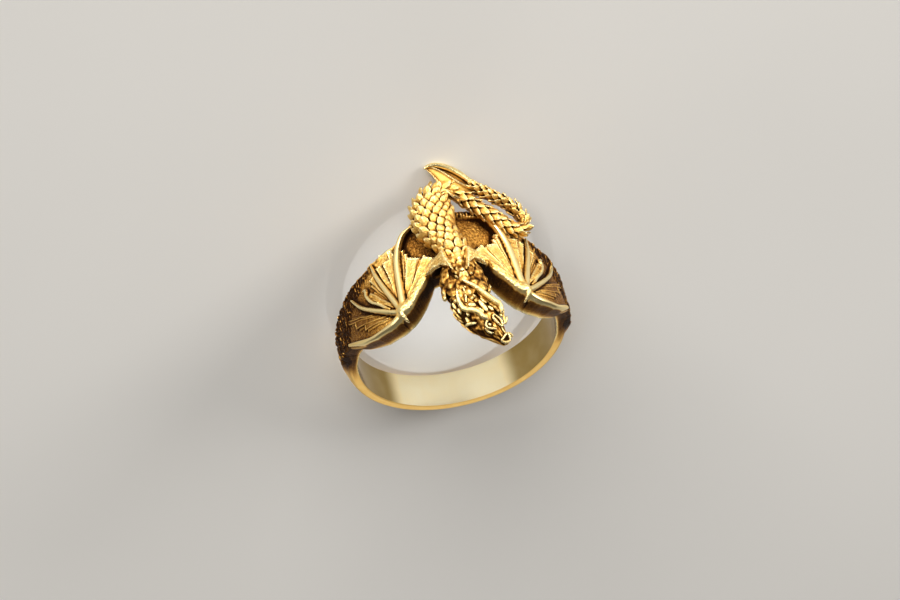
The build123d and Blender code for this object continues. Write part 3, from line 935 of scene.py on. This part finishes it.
deep = (0.25 + 0.75 * np.sqrt(1 - edges[:, :1] ** 2)) * section[:, 1] * leaf_wall / 2
blade = (leaf_base + edges[:, None, :1] * leaf_run * leaf_length + across[..., None] * leaf_across
         + deep[..., None] * leaf_face)
rim = smooth_rows(leaf_rim, 10)
rim_line = (leaf_base + rim[:, :1] * leaf_run * leaf_length + rim[:, 1:2] * leaf_across
            + leaf_face * 0.10)
leaf = make_object("leaf", *join([closed_rows(blade),
                                  tube(rim_line, leaf_face, rim[:, 2], rim[:, 2], 16)]))
one_skin(leaf, 0.045)
print("leaf faces:", len(leaf.data.polygons))

# %% [markdown]
# ## The head
# The head is a wedge that narrows to the snout. All that gives it its look stands on that
# wedge: two long horns swept back from the brows, lids round deep eyes, a diamond between
# them, spikes on the cheeks, ridged nostrils and a jaw line. Each is a short tapering rod or
# a lens, placed in the head's own frame as shares of its length, half width and depth. The
# head is twisted, so the horns and lids are placed one by one, and only the jaws and the
# cheeks are mirrored. One remesh joins them all.

# %% The head's frame
skull = on_ring(-1.0, 0.92 * front_reach, 0.39 * head_depth)
snout_run = unit(np.array([0.525, -0.29, 0.80]))
crown_up = np.array([0.273, 0.948, 0.164])
crown_up = unit(crown_up - snout_run * crown_up.dot(snout_run))
head_side = np.cross(crown_up, snout_run)
head_scale = np.array([head_length, head_width / 2, head_depth])
head_axes = np.stack([snout_run, head_side, crown_up])


def in_head(rows, side=1):
    """Points of the head's frame in the ring's frame, mirrored for side -1."""
    rows = np.array(rows, float)[..., :3]
    rows[..., 1] = side * rows[..., 1]
    return skull + (rows * head_scale) @ head_axes


def head_rod(rows, side=1):
    """A tapering rod. Columns: along, aside and up, and the width as a share of a horn's."""
    rows = smooth_rows(rows, 5)
    thick = np.clip(rows[:, 3], 0.05, None) * horn_width / 2
    return tube(in_head(rows, side), crown_up, thick, thick, 10)


def head_lens(place, halves, side=1, turn=0.0):
    """A lens about a place, with half sizes along, aside and up, turned about the up axis."""
    t = np.linspace(-0.985, 0.985, 13)
    swell = np.sqrt(1 - t * t)
    run = snout_run * math.cos(turn) + head_side * (side * math.sin(turn))
    centres = in_head(place, side) + run * (t[:, None] * halves[0] * head_length)
    return tube(centres, crown_up, swell * halves[1] * head_width / 2,
                swell * halves[2] * head_depth, 14)


# %% The wedge of the skull
# Columns: share of the length, half width, top and bottom.
head_rows = [(-0.12, 0.66, 0.22, -0.50), (-0.05, 0.80, 0.27, -0.56), (0.15, 0.98, 0.28, -0.58),
             (0.35, 1.04, 0.28, -0.56), (0.50, 1.02, 0.27, -0.52), (0.62, 0.90, 0.23, -0.46),
             (0.73, 0.68, 0.16, -0.40), (0.84, 0.42, 0.11, -0.36), (0.93, 0.36, 0.06, -0.32),
             (1.00, 0.26, 0.00, -0.24)]
head_section = [(1, -0.15), (0.88, 0.25), (0.62, 0.62), (0.28, 0.94), (0, 1.0), (-0.28, 0.94),
                (-0.62, 0.62), (-0.88, 0.25), (-1, -0.15), (-0.84, -0.62), (-0.5, -0.95),
                (0, -1.0), (0.5, -0.95), (0.84, -0.62)]
# Hollows. Columns: along, aside and up, how far round it is pressed and how deep, both in mm.
hollows = [(0.60, -0.27, 0.22, 0.34, 0.40), (0.60, 0.66, 0.16, 0.34, 0.34),
           (-0.04, 0.05, 0.30, 0.50, 0.22), (0.10, 0.08, 0.30, 0.50, 0.24),
           (0.24, 0.12, 0.29, 0.44, 0.24), (0.38, 0.16, 0.28, 0.36, 0.22),
           (0.30, -0.80, 0.02, 0.45, 0.20), (0.46, -0.84, -0.02, 0.42, 0.22),
           (0.62, -0.84, -0.04, 0.34, 0.18), (0.76, -0.52, 0.00, 0.30, 0.14),
           (0.94, 0.02, 0.06, 0.20, 0.24)]
crease_rise = 0.055
rows = smooth_rows(head_rows, 9)
middle = np.stack([rows[:, 0], 0 * rows[:, 0], (rows[:, 2] + rows[:, 3]) / 2], -1)
section = smooth_rows(head_section + head_section[:1], 5)[:-1]
wide = (rows[:, 1:2] * section[:, 0]) * head_width / 2
tall = ((rows[:, 2:3] - rows[:, 3:4]) / 2 * section[:, 1]) * head_depth
wedge = in_head(middle)[:, None] + wide[..., None] * head_side + tall[..., None] * crown_up
core = in_head([(share, 0, -0.15) for share in rows[:, 0]])[:, None]
for along, aside, up, reach, depth in hollows:
    away = np.linalg.norm(wedge - in_head((along, aside, up)), axis=-1, keepdims=True)
    wedge = wedge + unit(core - wedge) * depth * np.exp(-(away / reach) ** 2)
arc = np.linspace(0, 12, wedge.shape[1])[None] + 0 * rows[:, :1]
down = rows[:, :1] * head_length + 0 * arc
crease = value_noise(down * 2.0, arc * 2.0, 77) + 0.7 * value_noise(down * 3.7, arc * 3.7, 78)
wedge = wedge + unit(wedge - core) * crease_rise * crease[..., None]
wedge_points, wedge_faces = closed_rows(wedge)
wedge_skin = BVHTree.FromPolygons([tuple(point) for point in wedge_points], wedge_faces)
print("faces of the wedge:", len(wedge_faces))
head_parts = [(wedge_points, wedge_faces)]

# %% Horns, lids, diamond and nose
# Columns of a rod: along, aside, up, width as a share of a horn's.
single_rods = {
    "left horn": [(-0.14, -0.46, 0.40, 0.12), (-0.05, -0.66, 0.30, 0.50), (0.045, -0.80, 0.24, 0.72),
                  (0.14, -0.85, 0.22, 0.84), (0.206, -0.75, 0.25, 0.88), (0.275, -0.57, 0.32, 0.90),
                  (0.364, -0.43, 0.35, 0.90), (0.444, -0.40, 0.34, 0.84), (0.50, -0.34, 0.33, 0.66),
                  (0.535, -0.26, 0.31, 0.40)],
    "right horn": [(-0.20, 0.14, 0.46, 0.12), (-0.15, 0.22, 0.45, 0.45), (-0.02, 0.43, 0.43, 0.70),
                   (0.10, 0.57, 0.41, 0.82), (0.19, 0.63, 0.40, 0.88), (0.30, 0.73, 0.38, 0.92),
                   (0.39, 0.82, 0.36, 0.95), (0.48, 0.92, 0.32, 0.92), (0.55, 0.83, 0.29, 0.76),
                   (0.60, 0.72, 0.25, 0.45)],
    "horn spike": [(0.42, 0.86, 0.38, 0.5), (0.44, 1.00, 0.40, 0.32), (0.45, 1.10, 0.42, 0.08)],
    "upper lid": [(0.52, -0.22, 0.29, 0.3), (0.540, -0.24, 0.28, 0.38), (0.555, -0.40, 0.25, 0.40),
                  (0.591, -0.53, 0.19, 0.40)],
    "lower lid": [(0.591, -0.53, 0.19, 0.38), (0.63, -0.52, 0.17, 0.40), (0.665, -0.42, 0.17, 0.42),
                  (0.70, -0.28, 0.18, 0.42), (0.737, -0.17, 0.18, 0.30)],
    "under lid": [(0.61, -0.60, 0.12, 0.25), (0.66, -0.60, 0.08, 0.34), (0.70, -0.54, 0.07, 0.36),
                  (0.75, -0.42, 0.07, 0.25)],
    "right upper lid": [(0.52, 0.60, 0.28, 0.3), (0.56, 0.80, 0.20, 0.42), (0.60, 0.90, 0.12, 0.40)],
    "right lower lid": [(0.60, 0.90, 0.10, 0.35), (0.66, 0.80, 0.08, 0.44), (0.72, 0.62, 0.10, 0.40),
                        (0.75, 0.46, 0.14, 0.25)],
    "diamond": [(0.528, 0.23, 0.31, 0.30), (0.55, 0.13, 0.31, 0.36), (0.585, 0.06, 0.29, 0.38),
                (0.66, 0.10, 0.25, 0.38), (0.753, 0.22, 0.17, 0.34), (0.735, 0.33, 0.17, 0.36),
                (0.68, 0.42, 0.18, 0.38), (0.60, 0.37, 0.24, 0.38), (0.528, 0.23, 0.31, 0.26)],
    "bridge": [(0.74, 0.18, 0.16, 0.2), (0.82, 0.16, 0.11, 0.26), (0.88, 0.16, 0.08, 0.2)],
    "left nostril": [(0.88, 0.28, 0.10, 0.25), (0.89, 0.10, 0.11, 0.38), (0.905, -0.14, 0.07, 0.38),
                     (0.92, -0.32, 0.02, 0.34)],
    "nose tip": [(0.92, -0.32, 0.02, 0.30), (0.965, -0.20, 0.00, 0.40), (0.995, 0.00, -0.01, 0.44),
                 (1.00, 0.16, 0.00, 0.30)],
    "nose ridge": [(0.88, 0.28, 0.10, 0.30), (0.94, 0.24, 0.07, 0.38), (1.00, 0.16, 0.01, 0.34)],
    "right nostril": [(0.89, 0.34, 0.08, 0.3), (0.94, 0.42, 0.03, 0.46), (0.98, 0.42, -0.02, 0.4)],
    "left barb": [(0.46, -0.76, 0.10, 0.2), (0.435, -0.86, 0.05, 0.42), (0.395, -0.98, -0.02, 0.46),
                  (0.375, -1.10, -0.10, 0.44), (0.375, -1.20, -0.18, 0.15)],
    "right fin": [(0.76, 0.56, 0.06, 0.3), (0.72, 0.76, 0.10, 0.5), (0.68, 0.96, 0.15, 0.12)],
    "second fin": [(0.62, 0.90, 0.02, 0.4), (0.58, 1.06, 0.08, 0.4), (0.54, 1.18, 0.12, 0.1)],
    "left crest": [(-0.10, 0.00, 0.30, 0.2), (-0.05, -0.07, 0.29, 0.34), (0.033, -0.25, 0.28, 0.36),
                   (0.11, -0.46, 0.23, 0.34)],
    "right crest": [(-0.10, 0.10, 0.30, 0.2), (-0.047, 0.16, 0.28, 0.34), (0.042, 0.12, 0.27, 0.36),
                    (0.146, 0.19, 0.27, 0.34)],
}

# %% Lips, jaws and their spikes
mirrored_rods = {
    "jaw barb": [(0.30, 0.94, -0.34, 0.6), (0.20, 1.08, -0.32, 0.45), (0.11, 1.16, -0.28, 0.1)],
    "lip": [(0.46, 1.00, -0.22, 0.2), (0.62, 0.86, -0.21, 0.32), (0.74, 0.64, -0.18, 0.34),
            (0.86, 0.39, -0.15, 0.34), (0.96, 0.28, -0.14, 0.34), (1.01, 0.0, -0.12, 0.3)],
    "jaw": [(0.20, 0.86, -0.48, 0.4), (0.36, 0.82, -0.48, 0.5), (0.54, 0.70, -0.44, 0.5),
            (0.72, 0.48, -0.38, 0.45), (0.88, 0.24, -0.34, 0.4), (0.97, 0.0, -0.29, 0.4)],
    "jaw spike": [(0.60, 0.80, -0.20, 0.6), (0.53, 0.98, -0.26, 0.45), (0.47, 1.10, -0.28, 0.1)],
    "chin spike": [(0.74, 0.56, -0.20, 0.5), (0.68, 0.74, -0.27, 0.4), (0.62, 0.84, -0.29, 0.1)],
}

# %% Lenses on the crown and the cheeks
# Columns of a lens: place, half sizes and turn.
singles = [((0.325, 0.11, 0.32), (0.125, 0.145, 0.075), -0.1),
           ((0.20, -0.32, 0.27), (0.07, 0.13, 0.05), 0.9), ((0.10, 0.0, 0.26), (0.05, 0.12, 0.04), -0.3),
           ((0.36, -0.16, 0.29), (0.06, 0.08, 0.05), 0.2), ((0.43, 0.40, 0.28), (0.06, 0.10, 0.05), 0.1),
           ((0.40, 0.76, 0.22), (0.16, 0.20, 0.11), 0.1), ((0.22, 0.60, 0.26), (0.14, 0.16, 0.11), 0.1),
           ((0.50, 0.84, 0.16), (0.10, 0.16, 0.11), 0.0), ((0.61, -0.26, 0.13), (0.035, 0.10, 0.06), 0.0),
           ((0.61, 0.70, 0.13), (0.035, 0.10, 0.06), 0.0), ((0.26, 0.42, 0.26), (0.07, 0.10, 0.04), 0.1)]
# Columns of a cheek's scale: along, aside, up, half length and turn.
cheek_scales = [
    (0.03, 0.86, -0.10, 0.060, 0.2), (0.10, 0.97, -0.20, 0.055, 0.1), (0.19, 1.01, -0.18, 0.050, 0.0),
    (0.25, 1.04, -0.24, 0.050, -0.1), (0.26, 0.74, 0.08, 0.040, 0.4), (0.14, 0.93, -0.02, 0.045, 0.3),
    (0.34, 0.92, -0.05, 0.060, 0.2), (0.33, 1.05, -0.34, 0.055, 0.0), (0.44, 1.02, -0.30, 0.050, -0.2),
    (0.04, 0.84, -0.34, 0.060, 0.0), (0.15, 0.95, -0.42, 0.060, 0.0)]
cheek_long, cheek_wide, cheek_deep = 1.25, 0.12, 0.05
head_parts += [head_rod(rows) for rows in single_rods.values()]
head_parts += [head_lens(place, halves, turn=turn) for place, halves, turn in singles]
for side in (-1, 1):
    head_parts += [head_rod(rows, side) for rows in mirrored_rods.values()]
    head_parts += [head_lens(row[:3], (cheek_long * row[3], cheek_wide, cheek_deep), side, row[4])
                   for row in cheek_scales]
print("parts of the head:", len(head_parts))

# %% The throat and one skin
# Columns: share of the length, half width and height of the plates across the throat.
throat = np.array([(0, 0.52, -0.53), (0.4, 0.62, -0.53), (0.8, 0.26, -0.38)])
plate_gap = 0.105
for along in np.arange(-0.04, 0.80, plate_gap):
    wide, low = [np.interp(along, throat[:, 0], throat[:, k]) for k in (1, 2)]
    head_parts.append(head_lens((along, 0, low), (0.07, wide, 0.06)))
head = make_object("head", *join(head_parts))
one_skin(head, 0.042)
print("head faces:", len(head.data.polygons))

# %% Where the head is dark
# The skin between the head's raised parts is darkened as patina. The lower side of the head is painted
# darker, most on the cheeks' skin, and the throat under it darker still: painted shade.
head_dark, cheek_shade_and_patina, crown_dark, snout_painted_shade, throat_painted_shade = 0.06, 0.36, 0.10, 0.08, 0.28
place = read_vectors(head.data)
stands = np.array([wedge_skin.find_nearest(point)[3] for point in place])
level = (place - skull) @ crown_up / head_depth
low_down = step(0.26, 0.06, level)
on_skin = (crown_dark + (cheek_shade_and_patina - crown_dark) * low_down) * step(0.15, 0.02, stands)
below = snout_painted_shade * low_down + throat_painted_shade * step(0.0, -0.16, level)
store(head.data, dark=head_dark + on_skin + below)
print("points on the head's skin:", np.sum(on_skin > 0))

# %% [markdown]
# ## Claws
# The thumb's claw starts high on each wrist and hooks over the front edge. It is one bent rod
# that tapers to a point, made twice, and remeshed so that its ends are rounded.

# %% Claws
# Columns: angle, share of the front reach, mm above the plate, width as a share of a bone's.
claw_rows = [(30.0, 0.78, 0.74, 0.8), (29.9, 0.86, 0.66, 0.66), (29.6, 0.92, 0.46, 0.50),
             (29.2, 0.965, 0.18, 0.34), (28.9, 0.98, -0.10, 0.10)]
claw_share = 0.8
claws = []
for side in (-1, 1):
    rows = smooth_rows(claw_rows, 6)
    centres = on_ring(side * rows[:, 0], rows[:, 1] * front_reach, rows[:, 2])
    thick = rows[:, 3] * bone_width / 2 * claw_share
    claws.append(tube(centres, np.array([side, 0.0, 0.0]), thick, thick, 14))
claws = make_object("claws", *join(claws))
one_skin(claws, 0.045)
print("claw faces:", len(claws.data.polygons))

# %% [markdown]
# ## Worn edges, hollows and painted shade
# On cast gold the raised parts are polished bright by wear, and the hollows keep the dark
# patina. A point's recess says where that is: it compares the point with a smoothed copy of its
# own surface, and above the copy it is a ridge, below it a groove. Its shade is the share of
# the sky that the rest of the ring hides, and Geometry Nodes finds it by sending rays out
# from every point. The gold's colour is darkened by that shade: it is painted shade.

# %% How far each point lies in a groove
def measure_recess(mesh, near, far):
    """How deep each point lies below the smoothed surface, in mm, at two scales."""
    count = len(mesh.vertices)
    place, normal = read_vectors(mesh), read_vectors(mesh, "normal")
    edges = np.zeros(len(mesh.edges) * 2, int)
    mesh.edges.foreach_get("vertices", edges)
    a, b = edges.reshape(-1, 2).T
    degree = np.bincount(a, minlength=count) + np.bincount(b, minlength=count)
    smooth, found = place.copy(), []
    for turn in range(1, far + 1):
        total = [np.bincount(a, smooth[b, k], count) + np.bincount(b, smooth[a, k], count)
                 for k in range(3)]
        smooth = 0.5 * smooth + 0.5 * np.stack(total, -1) / np.maximum(degree, 1)[:, None]
        if turn in (near, far):
            found.append(((smooth - place) * normal).sum(-1))
    return found


# %% Geometry Nodes: the share of the sky that is hidden
def build_shade_tree(count):
    """A tree that sends rays in fixed directions from each point and weighs the hits."""
    tree, given = new_tree("Hidden sky", "GeometryNodeTree",
                           [("Geometry", "Geometry", None), ("Ring", "Object", None),
                            ("Reach", "Float", 2.5), ("Start", "Float", 0.05)],
                           [("Geometry", "Geometry")])
    ring = add_node(tree, "GeometryNodeObjectInfo", {"Object": given["Ring"]}).outputs["Geometry"]
    normal = add_node(tree, "GeometryNodeInputNormal").outputs["Normal"]
    place = add_node(tree, "GeometryNodeInputPosition").outputs[0]
    push = add_node(tree, "ShaderNodeVectorMath", {0: normal, "Scale": given["Start"]},
                    operation="SCALE").outputs[0]
    start = add_node(tree, "ShaderNodeVectorMath", {0: place, 1: push}).outputs[0]
    hidden, open_sky = 0.0, 0.0
    for k in range(count):
        height = 1 - 2 * (k + 0.5) / count
        turn, flat = k * math.pi * (3 - math.sqrt(5)), math.sqrt(1 - height * height)
        direction = (flat * math.cos(turn), flat * math.sin(turn), height)
        facing = add_node(tree, "ShaderNodeVectorMath", {0: normal, 1: direction},
                          operation="DOT_PRODUCT").outputs["Value"]
        weight = add_math(tree, "MAXIMUM", facing, 0.0)
        ray = add_node(tree, "GeometryNodeRaycast",
                       {"Target Geometry": ring, "Source Position": start,
                        "Ray Direction": direction, "Ray Length": given["Reach"]})
        hidden = add_math(tree, "MULTIPLY_ADD", ray.outputs["Is Hit"], weight, hidden)
        open_sky = add_math(tree, "ADD", weight, open_sky)
    keep = add_node(tree, "GeometryNodeStoreNamedAttribute",
                    {"Name": "shade", "Geometry": given["Geometry"],
                     "Value": add_math(tree, "DIVIDE", hidden, open_sky)},
                    data_type="FLOAT", domain="POINT")
    add_node(tree, "NodeGroupOutput", {0: keep.outputs[0]})
    return tree


shade_tree = build_shade_tree(28)

# %% Measure every piece
groove_spread, hollow_spread = 0.035, 0.09
least_groove, least_hollow = 0.008, 0.04
near_rounds, far_rounds = 6, 40
pieces = [*sectors, torso, tail, neck, shoulder_hide, leaf, head, claws]
whole = add_to_scene("whole", bpy.data.meshes.new("whole"))
work = bmesh.new()
for piece in pieces:
    work.from_mesh(piece.data)
work.to_mesh(whole.data)
work.free()
for piece in pieces:
    near, far = measure_recess(piece.data, near_rounds, far_rounds)
    near *= groove_spread / max(np.percentile(np.abs(near), 90), least_groove)
    far *= hollow_spread / max(np.percentile(np.abs(far), 90), least_hollow)
    if "carved" in piece.data.attributes:
        carved = read_numbers(piece.data, "carved")
        near, far = near * carved, far * carved
    store(piece.data, groove=np.clip(near, -2 * groove_spread, 3 * groove_spread),
          hollow=np.clip(far, -2 * hollow_spread, 3 * hollow_spread))
    use_tree(piece, shade_tree, Ring=whole)
    to_plain(piece)
    print(piece.name, "shade:", np.percentile(read_numbers(piece.data, "shade"), (5, 50, 95)).round(2))
bpy.data.objects.remove(whole)
bpy.data.objects.remove(hide_scale)

# %% [markdown]
# ## The gold
# One shader node group turns the measures into a finish that every gold material shares.
# Ridges come out as pale polished gold, flats as warm gold, and grooves and hollows as darker
# patina. The more a point is hidden from the sky, the darker its colour is painted, through
# amber and brown to nearly black: that is painted shade. The group puts out a colour, a
# roughness and a height for the grain. Each material feeds them to its own shader.

# %% Helpers for materials
def ramp(tree, factor, stops):
    """A colour ramp through (place, colour) stops."""
    node = add_node(tree, "ShaderNodeValToRGB", {"Fac": factor})
    elements = node.color_ramp.elements
    while len(elements) < len(stops):
        elements.new(0.5)
    for element, (place, colour) in zip(elements, stops):
        element.position = place
        element.color = (*colour, 1)
    return node.outputs["Color"]


def noise(tree, vector, scale, detail=2.0):
    """Noise whose scale is counted in features per mm."""
    return add_node(tree, "ShaderNodeTexNoise",
                    {"Vector": vector, "Scale": scale, "Detail": detail}).outputs["Fac"]


def object_mm(tree):
    """The piece's own coordinates in millimetres."""
    place = add_node(tree, "ShaderNodeTexCoord").outputs["Object"]
    return add_node(tree, "ShaderNodeMapping", {"Vector": place, "Scale": (1000, 1000, 1000)}).outputs[0]


def measure(tree, name):
    """A number kept on the piece's points."""
    return add_node(tree, "ShaderNodeAttribute", attribute_name=name).outputs["Fac"]


def bump(tree, height, depth_mm):
    """A normal that stands for fine relief."""
    return add_node(tree, "ShaderNodeBump", {"Distance": depth_mm / 1000, "Height": height}).outputs[0]


def new_material(name):
    """A material with nodes, its tree and its shader."""
    material = bpy.data.materials.new(name)
    material.use_nodes = True
    return material, material.node_tree, material.node_tree.nodes["Principled BSDF"]


# %% Node group: worn cast gold with painted shade
gold_stops = [(0.00, (1.00, 0.81, 0.39)), (0.20, (0.99, 0.71, 0.25)), (0.38, (0.90, 0.55, 0.145)),
              (0.56, (0.59, 0.305, 0.06)), (0.76, (0.23, 0.095, 0.016)), (1.00, (0.035, 0.013, 0.004))]
plain_age = 0.30
# The last of these weighs the painted shade: how much the hidden sky darkens the colour.
groove_age, hollow_age, painted_shade_age = 8.0, 3.6, 0.62
blotch_age, speck_age = 0.16, 0.30
sharpest, dullest = 0.14, 0.6


def build_gold_group():
    """Colour, roughness and grain height from the measures on a piece's points."""
    tree, given = new_tree("Worn cast gold with painted shade", "ShaderNodeTree",
                           [("Age", "Float", 0.0), ("Grain", "Float", 1.0)],
                           [("Color", "Color"), ("Roughness", "Float"), ("Height", "Float")])
    place = object_mm(tree)
    fine, coarse = noise(tree, place, 7.0, 3.0), noise(tree, place, 1.6, 2.0)

    def add(a, b):
        """The sum of two sockets or numbers."""
        return add_math(tree, "ADD", a, b)

    def scaled(a, factor, plus=0.0):
        """A socket times a factor, plus another."""
        return add_math(tree, "MULTIPLY_ADD", a, factor, plus)

    uneven = add_math(tree, "SUBTRACT", 1.0, measure(tree, "smooth"))
    age = scaled(measure(tree, "hollow"), hollow_age, scaled(measure(tree, "groove"), groove_age))
    # Painted shade: the share of hidden sky darkens the colour.
    hidden = add_math(tree, "POWER", measure(tree, "shade"), 1.5)
    age = add(add(scaled(hidden, painted_shade_age, age), measure(tree, "dark")), given["Age"])
    blotch = scaled(coarse, blotch_age, -blotch_age / 2)
    speck = scaled(scaled(fine, speck_age, -speck_age / 2), uneven)
    age = add(add(add(age, blotch), speck), plain_age)
    rough = scaled(uneven, -0.08, scaled(age, 0.26, 0.38))
    rough = add_math(tree, "MINIMUM", add_math(tree, "MAXIMUM", rough, sharpest), dullest)
    height = scaled(scaled(fine, uneven), given["Grain"])
    add_node(tree, "NodeGroupOutput", {"Color": ramp(tree, age, gold_stops), "Roughness": rough,
                                       "Height": height})
    return tree


gold_group = build_gold_group()


# %% Gold materials
def gold_material(name, age, grain, bump_mm):
    """A gold material that feeds the shared group to its own shader."""
    material, tree, shader = new_material(name)
    group = add_node(tree, "ShaderNodeGroup", {"Age": age, "Grain": grain}, node_tree=gold_group)
    set_inputs(tree, shader, {"Metallic": 1.0, "IOR": 1.45, "Base Color": group.outputs["Color"],
                              "Roughness": group.outputs["Roughness"],
                              "Normal": bump(tree, group.outputs["Height"], bump_mm)})
    material.diffuse_color = (0.83, 0.58, 0.24, 1)
    return material


cast_gold = gold_material("cast_gold", 0.0, 1.0, 0.09)
scale_gold = gold_material("scale_gold", 0.18, 1.0, 0.09)
leaf_gold = gold_material("leaf_gold", -0.04, 0.35, 0.05)
print("nodes in the gold group:", len(gold_group.nodes))

# %% [markdown]
# The bore touches the finger, so it is polished like a mirror. Faint lines run round it from
# the polishing wheel: noise stretched along the bore's own direction. Its colour is painted
# pale in the middle of the shank and browner towards the shoulders: a painted reflection,
# with a faint cloud of random tone over it.

# %% Polished gold
bore_stops = [(0.05, (1.0, 0.91, 0.64)), (0.2, (0.99, 0.84, 0.50)), (0.9, (0.36, 0.25, 0.085))]
film_share, cloud_share = 0.78, 0.22
line_stretch = (0.35, 0.35, 9.0)
polished_gold, tree, shader = new_material("polished_gold")
place = object_mm(tree)
turned = add_node(tree, "ShaderNodeVectorRotate",
                  {"Vector": place, "Rotation": (math.radians(rest_tilt), 0, 0)},
                  rotation_type="EULER_XYZ").outputs[0]
squeezed = add_node(tree, "ShaderNodeMapping", {"Vector": turned, "Scale": line_stretch}).outputs[0]
lines = noise(tree, squeezed, 1.0, 3.0)
# Painted reflection: pale in the middle of the bore and darker towards the shoulders, with random clouds
# of tone over it.
film = add_math(tree, "MULTIPLY", measure(tree, "film"), film_share)
film = add_math(tree, "MULTIPLY_ADD", noise(tree, place, 0.5, 2.0), cloud_share, film)
set_inputs(tree, shader, {"Metallic": 1.0, "Base Color": ramp(tree, film, bore_stops),
                          "Roughness": add_math(tree, "MULTIPLY_ADD", lines, 0.10, 0.05),
                          "Normal": bump(tree, lines, 0.004)})

# %% [markdown]
# ## Floor and light
# The floor is plain and pale, at the height where the ring rests. Gold shows what it
# reflects, so the room is dim and the light comes from soft lamps. The key is wide and low in
# front of the dragon's back and draws the bright edges. A small lamp at its side and a higher
# one in front fill in, and a weak one behind lights the shank. A narrow spot along the finger's
# axis lights the floor inside the ring, which the bore mirrors.

# %% Floor
floor_size = 2.0
corners = [(x * floor_size, y * floor_size, cad_low.z) for x, y in ((-1, -1), (1, -1), (1, 1), (-1, 1))]
floor_mesh = bpy.data.meshes.new("floor")
floor_mesh.from_pydata(corners, [], [(0, 1, 2, 3)])
floor = add_to_scene("floor", floor_mesh)
floor_paint, tree, shader = new_material("pale_floor")
clouds = noise(tree, object_mm(tree), 0.02, 2.0)
pale = ramp(tree, clouds, [(0.3, (0.80, 0.79, 0.77)), (0.7, (0.84, 0.83, 0.81))])
set_inputs(tree, shader, {"Roughness": 0.75, "Base Color": pale})
floor_mesh.materials.append(floor_paint)
floor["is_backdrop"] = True
print("floor height, mm:", round(1000 * cad_low.z, 2))

# %% Lights
world = bpy.data.worlds.new("studio")
world.use_nodes = True
set_inputs(world.node_tree, world.node_tree.nodes["Background"],
           {"Color": (1.0, 0.97, 0.93, 1), "Strength": 0.13})
bpy.context.scene.world = world
bpy.context.scene.view_settings.view_transform = "Standard"
lamp_colour = (1.0, 0.97, 0.92)
# Columns: name, azimuth and elevation in degrees, distance, width and height in metres, watts.
# Azimuth 0 is on -Y, where the dragon's back faces.
soft_lights = [("key", 14, 14, 0.80, 0.86, 0.30, 7.2), ("side", -58, 16, 0.42, 0.16, 0.20, 1.1),
               ("front", 18, 44, 0.60, 0.40, 0.22, 1.15), ("back", 180, 14, 0.42, 0.34, 0.09, 0.2)]
for name, azimuth, elevation, away, wide, high, power in soft_lights:
    turn, rise = math.radians(azimuth), math.radians(elevation)
    aim = Vector((math.sin(turn) * math.cos(rise), -math.cos(turn) * math.cos(rise), math.sin(rise)))
    lamp = add_to_scene(name, bpy.data.lights.new(name, "AREA"))
    lamp.data.shape, lamp.data.size, lamp.data.size_y = "RECTANGLE", wide, high
    lamp.data.energy, lamp.data.color = power, lamp_colour
    lamp.location = aim * away
    lamp.rotation_euler = aim.to_track_quat("Z", "Y").to_euler()
# The beam's watts, degrees across and soft edge, then its distance, shift and bulb in metres.
beam_power, beam_width, beam_edge = 5.2, 2.3, 0.6
beam_away, beam_shift, beam_bulb = 0.3, 0.0015, 0.008
spot = add_to_scene("through the hole", bpy.data.lights.new("through the hole", "SPOT"))
spot.data.energy, spot.data.spot_size = beam_power, math.radians(beam_width)
spot.data.spot_blend, spot.data.shadow_soft_size = beam_edge, beam_bulb
spot.location = axis * beam_away + Vector((0, beam_shift, 0))
spot.rotation_euler = axis.to_track_quat("Z", "Y").to_euler()
print("lamps:", len(soft_lights) + 1)

# %% [markdown]
# ## Into the row's frame
# Everything so far is in the ring's frame in millimetres. Now each piece gets its material,
# is turned and scaled in its mesh, so that its object stays at the origin, and is tied to the
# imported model.

# %% Finish every piece
finishes = {"left_wing": (cast_gold, polished_gold), "right_wing": (cast_gold, polished_gold),
            "shank": (cast_gold, polished_gold), "leaf": (leaf_gold,),
            "torso": (scale_gold,), "neck": (scale_gold,), "tail": (scale_gold,)}
for piece in pieces:
    piece.data.transform(ring_to_row)
    slots = np.zeros(len(piece.data.polygons), np.int32)
    piece.data.polygons.foreach_get("material_index", slots)
    piece.data.materials.clear()
    for material in finishes.get(piece.name, (cast_gold,)):
        piece.data.materials.append(material)
    piece.data.polygons.foreach_set("material_index", slots)
    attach(piece, "root")
    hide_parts("dragon_ring")
triangles = sum(len(f.vertices) - 2 for piece in pieces for f in piece.data.polygons)
print("triangles in all:", triangles)

# %% Size and the last line
low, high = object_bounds()
print("visual box, mm:", [round(1000 * x, 2) for x in (*low, *high)])
